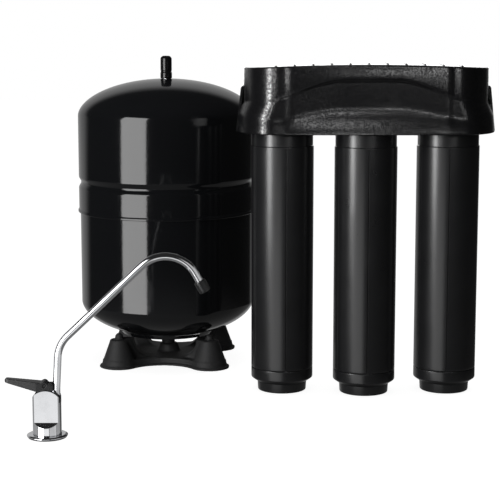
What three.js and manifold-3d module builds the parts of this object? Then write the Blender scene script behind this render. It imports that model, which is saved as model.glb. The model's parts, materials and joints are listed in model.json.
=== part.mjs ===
// Under-counter drinking water filtration system: a pressurised storage tank on its stand, a dispensing
// faucet with a swivelling spout, and a filter unit whose head cover holds three long cartridges.
// Millimetres and degrees, +Z up, -Y towards the front. The three units stand apart on one floor, z = 0.

import * as THREE from "three";
import { mergeVertices } from "three/addons/utils/BufferGeometryUtils.js";
import Module from "manifold-3d";

const wasm = await Module();
wasm.setup();

// Clearances and tool lengths shared by every unit
const fitGap = 0.3;
const cutOverrun = 2;
const halfTurn = 180;

// Where each unit stands, seen from above
const tankX = -124.9;
const tankY = 152.6;
const faucetX = -238.5;
const faucetY = -248.4;
const filterX = 126.9;
const filterY = -37.4;

// Storage tank: two domed steel shells lapped together
const tankRadius = 117.3;
const tankWall = 1.5;
const tankLift = 33;
const tankHeight = 343.8;
const tankDomeHeight = 48;
const tankLapHeight = 201.5;
const tankLapDepth = 11;
const tankLipFlare = 1.3;
const tankLipHeight = 4.2;
const tankGrooveRise = 39.8;
const tankGrooveDepth = 3;
const tankGrooveWidth = 15.6;
const tankSides = 32;
const tankInnerSides = 16;
const tankGrooveHeight = tankLapHeight + tankGrooveRise;
const lowerShellRadius = tankRadius - tankWall - fitGap;
const lowerShoulder = tankLift + tankDomeHeight;
const upperShoulder = tankLift + tankHeight - tankDomeHeight;
const tankApex = tankLift + tankHeight;
// Radius share and rise share of a dome, from its shoulder to its middle
const domeShares = [
  [1, 0],
  [0.99, 0.13],
  [0.942, 0.33],
  [0.86, 0.47],
  [0.7, 0.675],
  [0.487, 0.865],
  [0.28, 0.975],
  [0, 1],
];
// The same for the inner faces, with fewer points
const innerDomeShares = [
  [1, 0],
  [0.942, 0.33],
  [0.7, 0.675],
  [0.28, 0.975],
  [0, 1],
];

// Inside the tank: plastic liner over a rubber diaphragm, held by a clamp ring behind the rolled groove
const linerWall = 1.6;
const diaphragmBead = 3;
const diaphragmWall = 2;
const diaphragmSag = 74;
const clampRingWall = 1.5;
const clampRingHeight = 13;
const diaphragmShares = [
  [0.95, 0.28],
  [0.76, 0.7],
  [0.44, 0.93],
];

// Water port on top of the tank and the vinyl cap that covers its thread
const portRadius = 6.2;
const portBore = 4;
const portReach = 25;
const portFlangeRadius = 14;
const portFlangeHeight = 2.5;
const portSealHeight = 1.5;
const portCapRadius = 7.7;
const portCapTop = 1.9;
const portCapBead = 9;
const portCapNeckDepth = 0.7;
const portCapNeckHeight = 4;
const portCapCrown = 3;
const portCapShoulder = 1.5;
const portCapFlatRadius = 2;
const portSides = 14;

// Air valve under the tank
const airValveRadius = 4.2;
const airValveBore = 1.8;
const airValveReach = 9;
const airValveFlangeRadius = 8;
const airValveFlangeHeight = 1.8;
const airCapRadius = 8.8;
const airCapClearance = 2;
const airCapFloor = 2;
const airSides = 12;

// Ring welded under the lower dome, which sits on the stand
const footRingRadius = 66;
const footRingTaper = 4;
const footRingWall = 5;

// Stand: four hollow cones on round feet, joined by low webs, with a post under the air valve
const standTurn = -3;
const standShift = 1;
const legSpacing = 120;
const footRadius = 26;
const footLip = 2.6;
const waistDepth = 110;
const legBaseRadius = 24.5;
const legTopRadius = 11.5;
const legHeight = 36.5;
const standWall = 3.2;
const plateHeight = 9.6;
const plateInset = 4;
const webInset = 14;
const saddleWidth = 84;
const saddleFloorWidth = 34;
const knobRadius = 5.3;
const knobHeight = 8;
const knobRoot = 1.6;
const knobShoulderShare = 0.5;
const knobTopShare = 0.5;
const postBaseRadius = 14;
const postTopRadius = 9.2;
const postHeight = 20;
const legSides = 16;
const saddleSteps = 3;
const waistSteps = 4;
const footSteps = 7;
const knobSides = 8;

// Faucet base: gasket, escutcheon and the body with its two flats
const gasketRadius = 21.6;
const gasketHeight = 1;
const escutcheonRadius = 22.75;
const escutcheonHeight = 2.4;
const escutcheonChamfer = 0.6;
const escutcheonRim = 1.2;
const escutcheonShoulderDrop = 0.3;
const escutcheonShoulderShare = 0.25;
const escutcheonFlatShare = 0.5;
const faucetBodyRadius = 16;
const faucetFlatWidth = 18.4;
const faucetFlatFoot = 18;
const faucetLedgeDrop = 5;
const faucetArchTop = 53.5;
const faucetArchRadius = 18.5;
const faucetArchShift = -0.5;
const pocketWidth = 14.6;
const pocketFloor = 46.5;
const insertSeatFloor = 40;
const insertLeft = 5;
const insertRise = 1.2;
const faucetBoreRadius = 5;
const faucetBoreTop = 38;
const faucetSides = 24;
const archSteps = 10;
const boreSides = 12;

// Faucet valve: seat, seal, stem and the spring that closes it
const pivotX = -1.7;
const pivotHeight = 58.7;
const stemRadius = 1.8;
const stemEyeRadius = 2.8;
const stemEyeWidth = 3.8;
const stemCollarHeight = 28;
const stemCollarRadius = 4.5;
const stemCollarDepth = 2;
const stemHeadDepth = 5;
const sealDiscRadius = 4;
const sealDiscHeight = 1.6;
const seatHeight = 9;
const seatBore = 2;
const springRadius = 3.7;
const springWire = 1;
const springTurns = 4;
const springStepsPerTurn = 8;
const springWireSides = 5;
const pivotPinRadius = 1.4;
const pivotPinLength = 13.4;

// Lever: heel in the body's pocket, arm to the left, forked round the spout
const leverWidth = 14;
const leverTipWidth = 9;
const leverArmLength = 44.4;
const leverTipRise = 5.4;
const leverTipThickness = 4.8;
const leverRootRise = 3.6;
const leverRootX = -4.5;
const leverHumpRise = 5;
const leverHumpHalfWidth = 3.6;
const leverHeelRise = 2.2;
const leverHeelLength = 10;
const leverHeelRound = 3;
const leverHeelDrop = 5;
const leverToeLength = 9.2;
const leverToeDrop = 6.5;
const leverBellyDrop = 9.2;
const leverCoreRadius = 8;
const leverForkGap = 0.6;
const leverSlotGap = 0.4;
const pivotClearance = 0.3;
const leverCurveSteps = 5;

// Spout: one bent tube that turns in the body, with a black tip
const tubeRadius = 4.2;
const tubeWall = 1;
const spoutX = 11;
const spoutSocketFloor = 30;
const spoutStraight = 22.7;
const riserLean = 3.3;
const riserBendRadius = 60;
const riserLength = 33.2;
const armHeading = 46.5;
const armBendRadius = 36;
const armLength = 114.1;
const tipHeading = 150.9;
const tipBendRadius = 37;
const dropLength = 18.4;
const tubeSides = 12;
const arcStep = 11;
const tipRadius = 6.5;
const tipLength = 13.5;
const tipGrip = 9;
const tipOutlet = 3;
const tipRound = 1.2;

// Cartridges: outer ones stand a little further back than the middle one
const cartridgeCount = 3;
const cartridgePitch = 101;
const cartridgeSetback = 12;
const cartridgeRadius = 38.1;
const cartridgeWall = 3;
const cartridgeEndRadius = 30.4;
const cartridgeEndTaper = 0.7;
const cartridgeEndHeight = 11;
const cartridgeChamferHeight = 5.5;
const cartridgeCollarTop = 29.2;
const cartridgeSeamChamfer = 1;
const cartridgeSpigotHeight = 7;
const cartridgeNeckingDepth = 0.9;
const cartridgeNeckingDrop = 26;
const cartridgeShoulderHeight = 330;
const cartridgeShoulderRise = 13;
const cartridgeNeckingHeight = cartridgeShoulderHeight - cartridgeNeckingDrop;
const cartridgeShoulderTop = cartridgeShoulderHeight + cartridgeShoulderRise;
const cartridgeNeckRadius = 22;
const cartridgeNeckBore = 10;
const cartridgeNeckLength = 29;
const cartridgeNeckTop = cartridgeShoulderTop + cartridgeNeckLength;
const cartridgeSides = 18;
const mediaSides = 12;
const mediaGap = 1.2;
const mediaTopGap = 10;
const mediaBore = 7;
const sealWire = 1;
const sealDrop = 12;
const sealHeight = cartridgeNeckTop - sealDrop;
const lugReach = 5;
const lugWidth = 12;
const lugHeight = 5;
const lugRise = 6;
const lugLevel = cartridgeShoulderTop + lugRise;

// Shut-off cams that turn with the cartridges, and the head that holds them
const camWall = 5.4;
const camClearance = 2;
const camBottom = cartridgeShoulderTop + camClearance;
const camTopThickness = 4.5;
const spindleRadius = 8;
const spindleHeight = 6;
const headCupWall = 3.7;
const headRoof = 5.5;
const headTop = cartridgeNeckTop + camTopThickness + spindleHeight + headRoof;
const headRise = 7;
const headBottom = cartridgeShoulderTop + headRise;
const headEndReach = 34;
const headLength = 2 * (cartridgePitch + headEndReach);
const headFront = -20;
const headBack = 34;
const headRound = 8;
const headRoundSteps = 4;

// Push-in tube ports under the head, two in each gap between cartridges
const portRows = [2, 24];
const fittingRadius = 7.5;
const fittingDepth = 18;
const spigotRadius = 5;
const spigotHeight = 6;
const tubeBore = 3.4;
const colletRadius = 5.4;
const colletDepth = 8;
const colletFlangeRadius = 6.8;
const colletFlangeHeight = 2;
const colletGap = 1.8;
const fittingSides = 8;

// Automatic shut-off valve cap on top of the head
const shutoffRadius = 14;
const shutoffHeight = 7;
const shutoffChamfer = 2;
const shutoffInset = 0.5;
const shutoffX = cartridgePitch / 2 - shutoffInset;

// Head cover: a hood with a proud band over a sweeping recess, a flared skirt and ribs across its top
const coverHemDrop = 9;
const coverBottom = cartridgeShoulderHeight - coverHemDrop;
const coverHeadroom = 13.6;
const coverTop = headTop + coverHeadroom;
const coverCrown = 4.5;
const coverDome = 3.6;
const coverWall = 2.5;
const coverFront = -48;
const coverBack = 54;
const coverBow = 5;
const coverEndClearance = 13.8;
const coverTopHalfWidth = headLength / 2 + coverEndClearance;
const coverSkirtFlare = 7.7;
const coverCornerRadius = 44;
const coverCornerDepth = 60;
const coverBackRadius = 10;
const coverEdgeRound = 4;
const coverFrontFlare = 3;
const creaseEndRise = 39.5;
const creaseEndHeight = coverBottom + creaseEndRise;
const creaseRise = 26;
const creaseFlat = 30;
const creaseEndInset = 18.8;
const creaseReach = coverTopHalfWidth - creaseEndInset;
const creaseStep = 3;
const recessDepth = 5.5;
const recessFadePower = 1.5;
const coverSamples = 15;
const ribPitch = 22;
const ribCount = 11;
const ribWidth = 2.4;
const ribHeight = 1.3;
const ribEndInset = 9;
const ribRoot = 1.25;
const ribSteps = 4;
const coverNotchFront = 12;
const coverNotchDrop = 11;
const coverNotchTop = headTop - coverNotchDrop;
// Rise share and flare share of the skirt, from its hem to the crease
const skirtShares = [
  [0, 1],
  [0.2, 0.82],
  [0.45, 0.5],
  [0.72, 0.2],
  [1, 0],
];
// How far from the middle line each ring of the roof lies, as a share of the half depth
const roofShares = [0.75, 0];
// How far in and down each ring of the roof's rounded edge lies
const edgeShares = [
  [1, 0],
  [0.3, 0.3],
  [0, 1],
];

// Back plate: a tray with keyholes and side wings, which closes the cover's rear and is screwed to the head
const backPlateTopOverhang = 2.9;
const backPlateHemOverhang = 1.2;
const backPlateTopHalfWidth = coverTopHalfWidth + backPlateTopOverhang;
const backPlateBottomHalfWidth = coverTopHalfWidth + coverSkirtFlare + backPlateHemOverhang;
const backPlateDepth = 8;
const backPlateWall = 3;
const backPlateRound = 4;
const wingWidth = 6.8;
const wingInnerHalfWidth = coverTopHalfWidth - wingWidth;
const keyholeInset = 6;
const keyholeX = cartridgePitch - keyholeInset;
const keyholeRise = 27;
const keyholeHeight = coverBottom + keyholeRise;
const keyholeRadius = 5;
const keyholeSlotRadius = 2.6;
const keyholeSlotLength = 10;
const keyholeSteps = 8;
const bossRadius = 6;
const bossX = cartridgePitch / 2;
const bossRises = [11.5, 20.5];
const screwRadius = 2;
const screwHeadRadius = 4;
const screwHeadHeight = 2.6;
const screwBite = 14;
const screwSides = 8;

// Materials, one function each
function finish(color, roughness, metalness) {
  return new THREE.MeshStandardMaterial({ color, roughness, metalness });
}

const blackEnamel = () => finish(0x0d0e10, 0.15, 0.1);
const blackVinyl = () => finish(0x08080a, 0.2, 0);
const blackMoulding = () => finish(0x222224, 0.6, 0);
const satinBlackPlastic = () => finish(0x1c1d1f, 0.4, 0);
const leverBlack = () => finish(0x17181a, 0.45, 0);
const brightChrome = () => finish(0xdfe2e5, 0.08, 1);
const stainlessSteel = () => finish(0xb9bcc0, 0.3, 1);
const plainBrass = () => finish(0xb8924a, 0.35, 1);
const blackRubber = () => finish(0x151515, 0.85, 0);
const whitePlastic = () => finish(0xe6e6e2, 0.5, 0);
const carbonBlock = () => finish(0x2a2a2a, 0.95, 0);
const filmWrap = () => finish(0xd9dde0, 0.6, 0);
const greyPlastic = () => finish(0x8b8f94, 0.5, 0);

// Geometry helpers

function radians(degrees) {
  return (degrees * Math.PI) / halfTurn;
}

// Turns a closed geometry into a solid that can be joined and cut.
function solidOf(geometry) {
  const bare = geometry.index ? geometry.toNonIndexed() : geometry.clone();
  bare.deleteAttribute("normal");
  bare.deleteAttribute("uv");
  const merged = mergeVertices(bare);
  return new wasm.Manifold(
    new wasm.Mesh({
      numProp: 3,
      vertProperties: new Float32Array(merged.attributes.position.array),
      triVerts: new Uint32Array(merged.index.array),
    }),
  );
}

function geometryOf(solid) {
  const mesh = solid.getMesh();
  const geometry = new THREE.BufferGeometry();
  geometry.setAttribute("position", new THREE.BufferAttribute(mesh.vertProperties, 3));
  geometry.setIndex(new THREE.BufferAttribute(mesh.triVerts, 1));
  geometry.computeVertexNormals();
  return geometry;
}

function joined(first, ...others) {
  return geometryOf(others.reduce((whole, next) => whole.add(solidOf(next)), solidOf(first)));
}

function cut(base, ...tools) {
  return geometryOf(tools.reduce((whole, next) => whole.subtract(solidOf(next)), solidOf(base)));
}

function common(first, second) {
  return geometryOf(solidOf(first).intersect(solidOf(second)));
}

function moved(geometry, x, y, z) {
  return geometry.clone().translate(x, y, z);
}

// Revolves [radius, height] points about Z. The profile closes on itself or runs from axis to axis.
function revolved(profile, sides) {
  const points = profile.map(([radius, height]) => new THREE.Vector2(radius, height));
  if (THREE.ShapeUtils.area(points) < 0) points.reverse();
  const start = points[0];
  const onAxis = start.x === 0 && points[points.length - 1].x === 0;
  if (!onAxis) points.push(start.clone());
  return new THREE.LatheGeometry(points, sides).rotateX(Math.PI / 2);
}

function disc(radius, bottom, top, sides) {
  return revolved([[0, bottom], [radius, bottom], [radius, top], [0, top]], sides);
}

function washer(inner, outer, bottom, top, sides) {
  return revolved([[inner, bottom], [outer, bottom], [outer, top], [inner, top]], sides);
}

function cone(bottomRadius, topRadius, bottom, top, sides) {
  return revolved([[0, bottom], [bottomRadius, bottom], [topRadius, top], [0, top]], sides);
}

function box(x0, x1, y0, y1, z0, z1) {
  const block = new THREE.BoxGeometry(x1 - x0, y1 - y0, z1 - z0);
  return block.translate((x0 + x1) / 2, (y0 + y1) / 2, (z0 + z1) / 2);
}

function polygon(points) {
  return new THREE.Shape(points.map(([x, y]) => new THREE.Vector2(x, y)));
}

// A flat outline raised along Z.
function raised(shape, bottom, top, curveSegments) {
  const settings = { depth: top - bottom, bevelEnabled: false, curveSegments };
  return new THREE.ExtrudeGeometry(shape, settings).translate(0, 0, bottom);
}

// An outline drawn in X and Z, run along Y.
function alongY(shape, y0, y1, curveSegments) {
  return raised(shape, -y1, -y0, curveSegments).rotateX(Math.PI / 2);
}

// An outline drawn in Y and Z, run along X.
function alongX(shape, x0, x1, curveSegments) {
  return raised(shape, x0, x1, curveSegments).rotateX(Math.PI / 2).rotateZ(Math.PI / 2);
}

function rodAlongY(radius, x, z, length, sides) {
  return moved(disc(radius, -length / 2, length / 2, sides).rotateX(Math.PI / 2), x, 0, z);
}

function roundedRectangle(x0, x1, y0, y1, radius) {
  const shape = new THREE.Shape();
  shape.moveTo(x0 + radius, y0);
  shape.lineTo(x1 - radius, y0);
  shape.absarc(x1 - radius, y0 + radius, radius, -Math.PI / 2, 0);
  shape.absarc(x1 - radius, y1 - radius, radius, 0, Math.PI / 2);
  shape.absarc(x0 + radius, y1 - radius, radius, Math.PI / 2, Math.PI);
  shape.absarc(x0 + radius, y0 + radius, radius, Math.PI, Math.PI * 1.5);
  return shape;
}

// Skins a row of rings that have as many points each. The first and last ring fold shut on a line.
function skinned(rings) {
  const count = rings[0].length;
  const index = [];
  for (let ring = 0; ring < rings.length - 1; ring++) {
    for (let i = 0; i < count; i++) {
      const next = (i + 1) % count;
      const here = ring * count;
      const there = here + count;
      index.push(here + i, there + next, here + next);
      index.push(here + i, there + i, there + next);
    }
  }
  const geometry = new THREE.BufferGeometry();
  geometry.setAttribute("position", new THREE.Float32BufferAttribute(rings.flat(2), 3));
  geometry.setIndex(index);
  return geometry;
}

function addPart(parent, name, geometry, material) {
  const mesh = new THREE.Mesh(geometry, material);
  mesh.name = name;
  parent.add(mesh);
  return mesh;
}

// Storage tank

// Rise share of a dome at a share of its radius.
function domeRiseShare(radiusShare, shares) {
  const upper = shares.findIndex(([radius]) => radius <= radiusShare);
  const inside = shares[Math.max(upper, 1)];
  const outside = shares[Math.max(upper, 1) - 1];
  const along = (outside[0] - radiusShare) / (outside[0] - inside[0]);
  return outside[1] + (inside[1] - outside[1]) * along;
}

// Profile points of a dome from its shoulder to the edge of a hole in its middle.
function domePoints(radius, shoulder, rise, holeRadius, shares = domeShares) {
  const points = shares
    .filter(([share]) => share * radius > holeRadius)
    .map(([share, riseShare]) => [share * radius, shoulder + riseShare * rise]);
  return [...points, [holeRadius, shoulder + domeRiseShare(holeRadius / radius, shares) * rise]];
}

function lowerDomeHeightAt(radius) {
  return lowerShoulder - domeRiseShare(radius / lowerShellRadius, domeShares) * tankDomeHeight;
}

function grooveHeights() {
  const half = tankGrooveWidth / 2;
  return [
    [0, tankGrooveHeight - half],
    [0.5, tankGrooveHeight - half / 2],
    [1, tankGrooveHeight],
    [0.5, tankGrooveHeight + half / 2],
    [0, tankGrooveHeight + half],
  ];
}

function upperShell() {
  const hole = portRadius + fitGap;
  const outside = [
    [tankRadius + tankLipFlare, tankLapHeight],
    [tankRadius + tankLipFlare, tankLapHeight + tankLipHeight / 2],
    [tankRadius, tankLapHeight + tankLipHeight],
    ...grooveHeights().map(([share, z]) => [tankRadius - share * tankGrooveDepth, z]),
    ...domePoints(tankRadius, upperShoulder, tankDomeHeight, hole),
  ];
  const innerRadius = tankRadius - tankWall;
  const innerGroove = grooveHeights().filter(([share]) => Number.isInteger(share));
  const inside = [
    [innerRadius, tankLapHeight],
    ...innerGroove.map(([share, z]) => [innerRadius - share * tankGrooveDepth, z]),
    ...domePoints(innerRadius, upperShoulder, tankDomeHeight - tankWall, hole, innerDomeShares),
  ];
  return revolved([...outside, ...inside.reverse()], tankSides);
}

function lowerShell() {
  const hole = airValveRadius + fitGap;
  const rim = tankLapHeight + tankLapDepth;
  const innerRadius = lowerShellRadius - tankWall;
  const outside = [
    [lowerShellRadius, rim],
    ...domePoints(lowerShellRadius, lowerShoulder, -tankDomeHeight, hole),
  ];
  const inside = [
    [innerRadius, rim],
    ...domePoints(innerRadius, lowerShoulder, tankWall - tankDomeHeight, hole, innerDomeShares),
  ];
  return revolved([...outside, ...inside.reverse()], tankSides);
}

const linerRadius = tankRadius - tankWall - tankGrooveDepth - fitGap;
const linerInnerRadius = linerRadius - linerWall;
const linerRise = tankDomeHeight - tankWall - fitGap;
const linerInnerApex = upperShoulder + linerRise - linerWall;
const beadRadius = linerInnerRadius - fitGap;
const beadInnerRadius = beadRadius - diaphragmBead;
const beadTop = tankGrooveHeight + clampRingHeight / 2;
const beadBottom = tankGrooveHeight - clampRingHeight / 2;

function liner() {
  const hole = portRadius + fitGap;
  const outside = [
    [linerRadius, beadBottom],
    ...domePoints(linerRadius, upperShoulder, linerRise, hole, innerDomeShares),
  ];
  const inside = [
    [linerInnerRadius, beadBottom],
    ...domePoints(linerInnerRadius, upperShoulder, linerRise - linerWall, hole, innerDomeShares),
  ];
  return revolved([...outside, ...inside.reverse()], tankInnerSides);
}

function diaphragm() {
  const bottom = beadBottom - diaphragmSag;
  const outside = diaphragmShares.map(([radiusShare, sagShare]) => [
    beadRadius * radiusShare,
    beadBottom - sagShare * diaphragmSag,
  ]);
  const inside = diaphragmShares.map(([radiusShare, sagShare]) => [
    beadInnerRadius * radiusShare,
    beadBottom + diaphragmWall - sagShare * diaphragmSag,
  ]);
  return revolved(
    [
      [0, bottom],
      ...outside.reverse(),
      [beadRadius, beadBottom],
      [beadRadius, beadTop],
      [beadInnerRadius, beadTop],
      [beadInnerRadius, beadBottom],
      ...inside,
      [0, bottom + diaphragmWall],
    ],
    tankInnerSides,
  );
}

function clampRing() {
  const outer = beadInnerRadius - fitGap;
  return washer(outer - clampRingWall, outer, beadBottom, beadTop, tankInnerSides);
}

const portSealTop = linerInnerApex - fitGap - linerWall;
const portFlangeTop = portSealTop - portSealHeight - fitGap;

function portNipple() {
  return revolved(
    [
      [portBore, portFlangeTop - portFlangeHeight],
      [portFlangeRadius, portFlangeTop - portFlangeHeight],
      [portFlangeRadius, portFlangeTop],
      [portRadius, portFlangeTop],
      [portRadius, tankApex + portReach],
      [portBore, tankApex + portReach],
    ],
    portSides,
  );
}

function portSeal() {
  const inner = portRadius + fitGap;
  return washer(inner, portFlangeRadius, portSealTop - portSealHeight, portSealTop, portSides);
}

function portCap() {
  const inner = portRadius + fitGap;
  const bottom = tankApex + fitGap;
  const ceiling = tankApex + portReach + fitGap;
  const top = ceiling + portCapTop + portCapCrown;
  const neck = portCapRadius - portCapNeckDepth;
  const beadEdge = bottom + portCapBead;
  return revolved(
    [
      [inner, bottom],
      [neck, bottom],
      [portCapRadius, bottom + portCapNeckDepth],
      [portCapRadius, beadEdge - portCapNeckHeight / 2],
      [neck, beadEdge],
      [portCapRadius, beadEdge + portCapNeckHeight / 2],
      [portCapRadius, top - portCapCrown],
      [portCapRadius - portCapShoulder, top - portCapShoulder],
      [portCapFlatRadius, top],
      [0, top],
      [0, ceiling],
      [inner, ceiling],
    ],
    portSides,
  );
}

function airValve() {
  const inside = tankLift + tankWall + fitGap;
  const bottom = tankLift - airValveReach;
  return revolved(
    [
      [airValveBore, bottom],
      [airValveRadius, bottom],
      [airValveRadius, inside],
      [airValveFlangeRadius, inside],
      [airValveFlangeRadius, inside + airValveFlangeHeight],
      [airValveBore, inside + airValveFlangeHeight],
    ],
    airSides,
  );
}

function airValveCap() {
  const bottom = postHeight + fitGap;
  const top = tankLift - airCapClearance;
  const inner = airValveRadius + fitGap;
  return revolved(
    [
      [0, bottom],
      [airCapRadius, bottom],
      [airCapRadius, top],
      [inner, top],
      [inner, bottom + airCapFloor],
      [0, bottom + airCapFloor],
    ],
    airSides,
  );
}

function footRing() {
  const bottom = legHeight + fitGap;
  const inner = footRingRadius - footRingWall;
  return revolved(
    [
      [inner - footRingTaper, bottom],
      [footRingRadius - footRingTaper, bottom],
      [footRingRadius, lowerDomeHeightAt(footRingRadius) - fitGap],
      [inner, lowerDomeHeightAt(inner) - fitGap],
    ],
    tankSides,
  );
}

// Stand

// Outline of the stand seen from above: four round feet joined by concave arcs, drawn in by an inset.
function standOutline(inset) {
  const half = legSpacing / 2;
  const waist = waistDepth / 2;
  const waistRadius =
    (half ** 2 + (waist - half) ** 2 - footRadius ** 2) / (2 * (footRadius + half - waist));
  const centre = waist + waistRadius;
  const spread = Math.atan2(half, centre - half);
  const points = [];
  const addArc = (x, y, radius, start, sweptAngle, steps) => {
    for (let step = 0; step < steps; step++) {
      const angle = start + (sweptAngle * step) / steps;
      points.push([x + radius * Math.cos(angle), y + radius * Math.sin(angle)]);
    }
  };
  for (let side = 0; side < 4; side++) {
    const turn = (side * Math.PI) / 2;
    const up = turn + Math.PI / 2;
    const footX = half * (Math.cos(turn) + Math.sin(turn));
    const footY = half * (Math.sin(turn) - Math.cos(turn));
    addArc(
      centre * Math.sin(turn),
      -centre * Math.cos(turn),
      waistRadius + inset,
      up + spread,
      -2 * spread,
      waistSteps,
    );
    const footSweep = Math.PI / 2 + 2 * spread;
    addArc(footX, footY, footRadius - inset, up - spread + Math.PI, footSweep, footSteps);
  }
  return polygon(points);
}

// What is cut away between the legs: a trough whose sides curve up to the leg tops.
function saddleTool() {
  const half = saddleWidth / 2;
  const floor = saddleFloorWidth / 2;
  const drop = legHeight - plateHeight;
  const side = [];
  for (let step = 0; step <= saddleSteps; step++) {
    const angle = (step / saddleSteps) * (Math.PI / 2);
    side.push([
      half - (half - floor) * (1 - Math.cos(angle)),
      legHeight - drop * Math.sin(angle),
    ]);
  }
  const mirrored = side.map(([x, z]) => [-x, z]).reverse();
  const top = legHeight + cutOverrun;
  return polygon([[-half, top], ...mirrored.reverse(), ...side.reverse(), [half, top]]);
}

function knobProfile() {
  const top = legHeight + knobHeight;
  return [
    [0, legHeight - knobRoot],
    [knobRadius, legHeight - knobRoot],
    [knobRadius, legHeight + knobHeight * knobShoulderShare],
    [knobRadius * knobTopShare, top],
    [0, top],
  ];
}

function tankStand() {
  const half = legSpacing / 2;
  const reach = half + footRadius + cutOverrun;
  const trough = saddleTool();
  let stand = cut(
    raised(standOutline(webInset), 0, legHeight),
    alongY(trough, -reach, reach),
    alongX(trough, -reach, reach),
  );
  stand = joined(
    stand,
    raised(standOutline(0), 0, footLip),
    raised(standOutline(plateInset), 0, plateHeight),
    cone(postBaseRadius, postTopRadius, 0, postHeight, legSides),
  );
  const wells = [
    cone(
      postBaseRadius - standWall,
      postTopRadius - standWall,
      -cutOverrun,
      postHeight - standWall,
      airSides,
    ),
  ];
  for (const x of [-half, half]) {
    for (const y of [-half, half]) {
      const leg = cone(legBaseRadius, legTopRadius, 0, legHeight, legSides);
      const well = cone(
        legBaseRadius - standWall,
        legTopRadius - standWall,
        -cutOverrun,
        legHeight - standWall,
        airSides,
      );
      stand = joined(stand, moved(leg, x, y, 0), moved(revolved(knobProfile(), knobSides), x, y, 0));
      wells.push(moved(well, x, y, 0));
    }
  }
  return cut(stand, ...wells);
}

// Faucet

const bodyBottom = gasketHeight + escutcheonHeight + 2 * fitGap;
const socketRadius = tubeRadius + fitGap;

function gasket() {
  return washer(faucetBoreRadius, gasketRadius, 0, gasketHeight, faucetSides);
}

function escutcheon() {
  const bottom = gasketHeight + fitGap;
  const top = bottom + escutcheonHeight;
  const slope = escutcheonRadius - faucetBodyRadius;
  return revolved(
    [
      [faucetBoreRadius, bottom],
      [escutcheonRadius - escutcheonChamfer, bottom],
      [escutcheonRadius, bottom + escutcheonChamfer],
      [escutcheonRadius, bottom + escutcheonRim],
      [escutcheonRadius - slope * escutcheonShoulderShare, top - escutcheonShoulderDrop],
      [escutcheonRadius - slope * escutcheonFlatShare, top],
      [faucetBoreRadius, top],
    ],
    faucetSides,
  );
}

// Everything above the arched top of the faucet's body.
function archTool() {
  const reach = faucetBodyRadius + cutOverrun;
  const centre = faucetArchTop - faucetArchRadius;
  const spread = Math.asin(faucetBodyRadius / faucetArchRadius);
  const points = [];
  for (let step = 0; step <= archSteps; step++) {
    const angle = spread * (1 - (2 * step) / archSteps);
    points.push([
      faucetArchShift - faucetArchRadius * Math.sin(angle),
      centre + faucetArchRadius * Math.cos(angle),
    ]);
  }
  const top = faucetArchTop + cutOverrun;
  const foot = points[0][1];
  return polygon([[-reach, foot], ...points, [reach, foot], [reach, top], [-reach, top]]);
}

// What is cut away beside each flat, with a ledge that slopes down to the round foot.
function flatTool() {
  const flat = faucetFlatWidth / 2;
  const slope = faucetLedgeDrop / (faucetBodyRadius - flat);
  const reach = faucetBodyRadius + cutOverrun;
  const top = faucetArchTop + cutOverrun;
  return polygon([
    [flat, faucetFlatFoot],
    [reach, faucetFlatFoot - slope * (reach - flat)],
    [reach, top],
    [flat, top],
  ]);
}

function faucetBody() {
  const reach = faucetBodyRadius + cutOverrun;
  const flat = alongX(flatTool(), -reach, reach);
  const half = pocketWidth / 2;
  const channelHeight = (spoutSocketFloor + faucetBoreTop) / 2;
  const channel = disc(tubeRadius - tubeWall, 0, spoutX, boreSides).rotateY(Math.PI / 2);
  return cut(
    disc(faucetBodyRadius, bodyBottom, faucetArchTop, faucetSides),
    alongY(archTool(), -reach, reach),
    flat,
    flat.clone().rotateZ(Math.PI),
    box(-reach, reach, -half, half, pocketFloor, faucetArchTop + cutOverrun),
    box(insertLeft, reach, -half, half, insertSeatFloor, faucetArchTop + cutOverrun),
    moved(disc(faucetBoreRadius, bodyBottom - cutOverrun, faucetBoreTop, boreSides), pivotX, 0, 0),
    moved(disc(stemRadius + fitGap, bodyBottom, faucetArchTop, boreSides), pivotX, 0, 0),
    moved(disc(socketRadius, spoutSocketFloor, faucetArchTop, boreSides), spoutX, 0, 0),
    moved(channel, 0, 0, channelHeight),
  );
}

// Black insert that closes the body's top round the spout. The lever's heel swings clear of it.
function spoutInsert() {
  const half = pocketWidth / 2 - fitGap;
  const reach = faucetBodyRadius + cutOverrun;
  const bottom = insertSeatFloor + fitGap;
  const swing = Math.hypot(leverHeelLength, leverHeelDrop) + leverForkGap;
  return cut(
    common(
      box(insertLeft + fitGap, faucetBodyRadius, -half, half, bottom, faucetArchTop),
      disc(faucetBodyRadius, bottom, faucetArchTop, faucetSides),
    ),
    moved(alongY(archTool(), -reach, reach), 0, 0, insertRise),
    rodAlongY(swing, pivotX, pivotHeight, leverWidth + cutOverrun, faucetSides),
    moved(disc(socketRadius, insertSeatFloor, faucetArchTop, boreSides), spoutX, 0, 0),
  );
}

const stemHeadBottom = stemCollarHeight - stemCollarDepth - stemHeadDepth;
const seatTop = stemHeadBottom - sealDiscHeight - 2 * fitGap;

function valveSeat() {
  const outer = faucetBoreRadius - fitGap;
  return moved(washer(seatBore, outer, seatTop - seatHeight, seatTop, boreSides), pivotX, 0, 0);
}

function stemSeal() {
  const bottom = seatTop + fitGap;
  return moved(disc(sealDiscRadius, bottom, bottom + sealDiscHeight, boreSides), pivotX, 0, 0);
}

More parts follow.
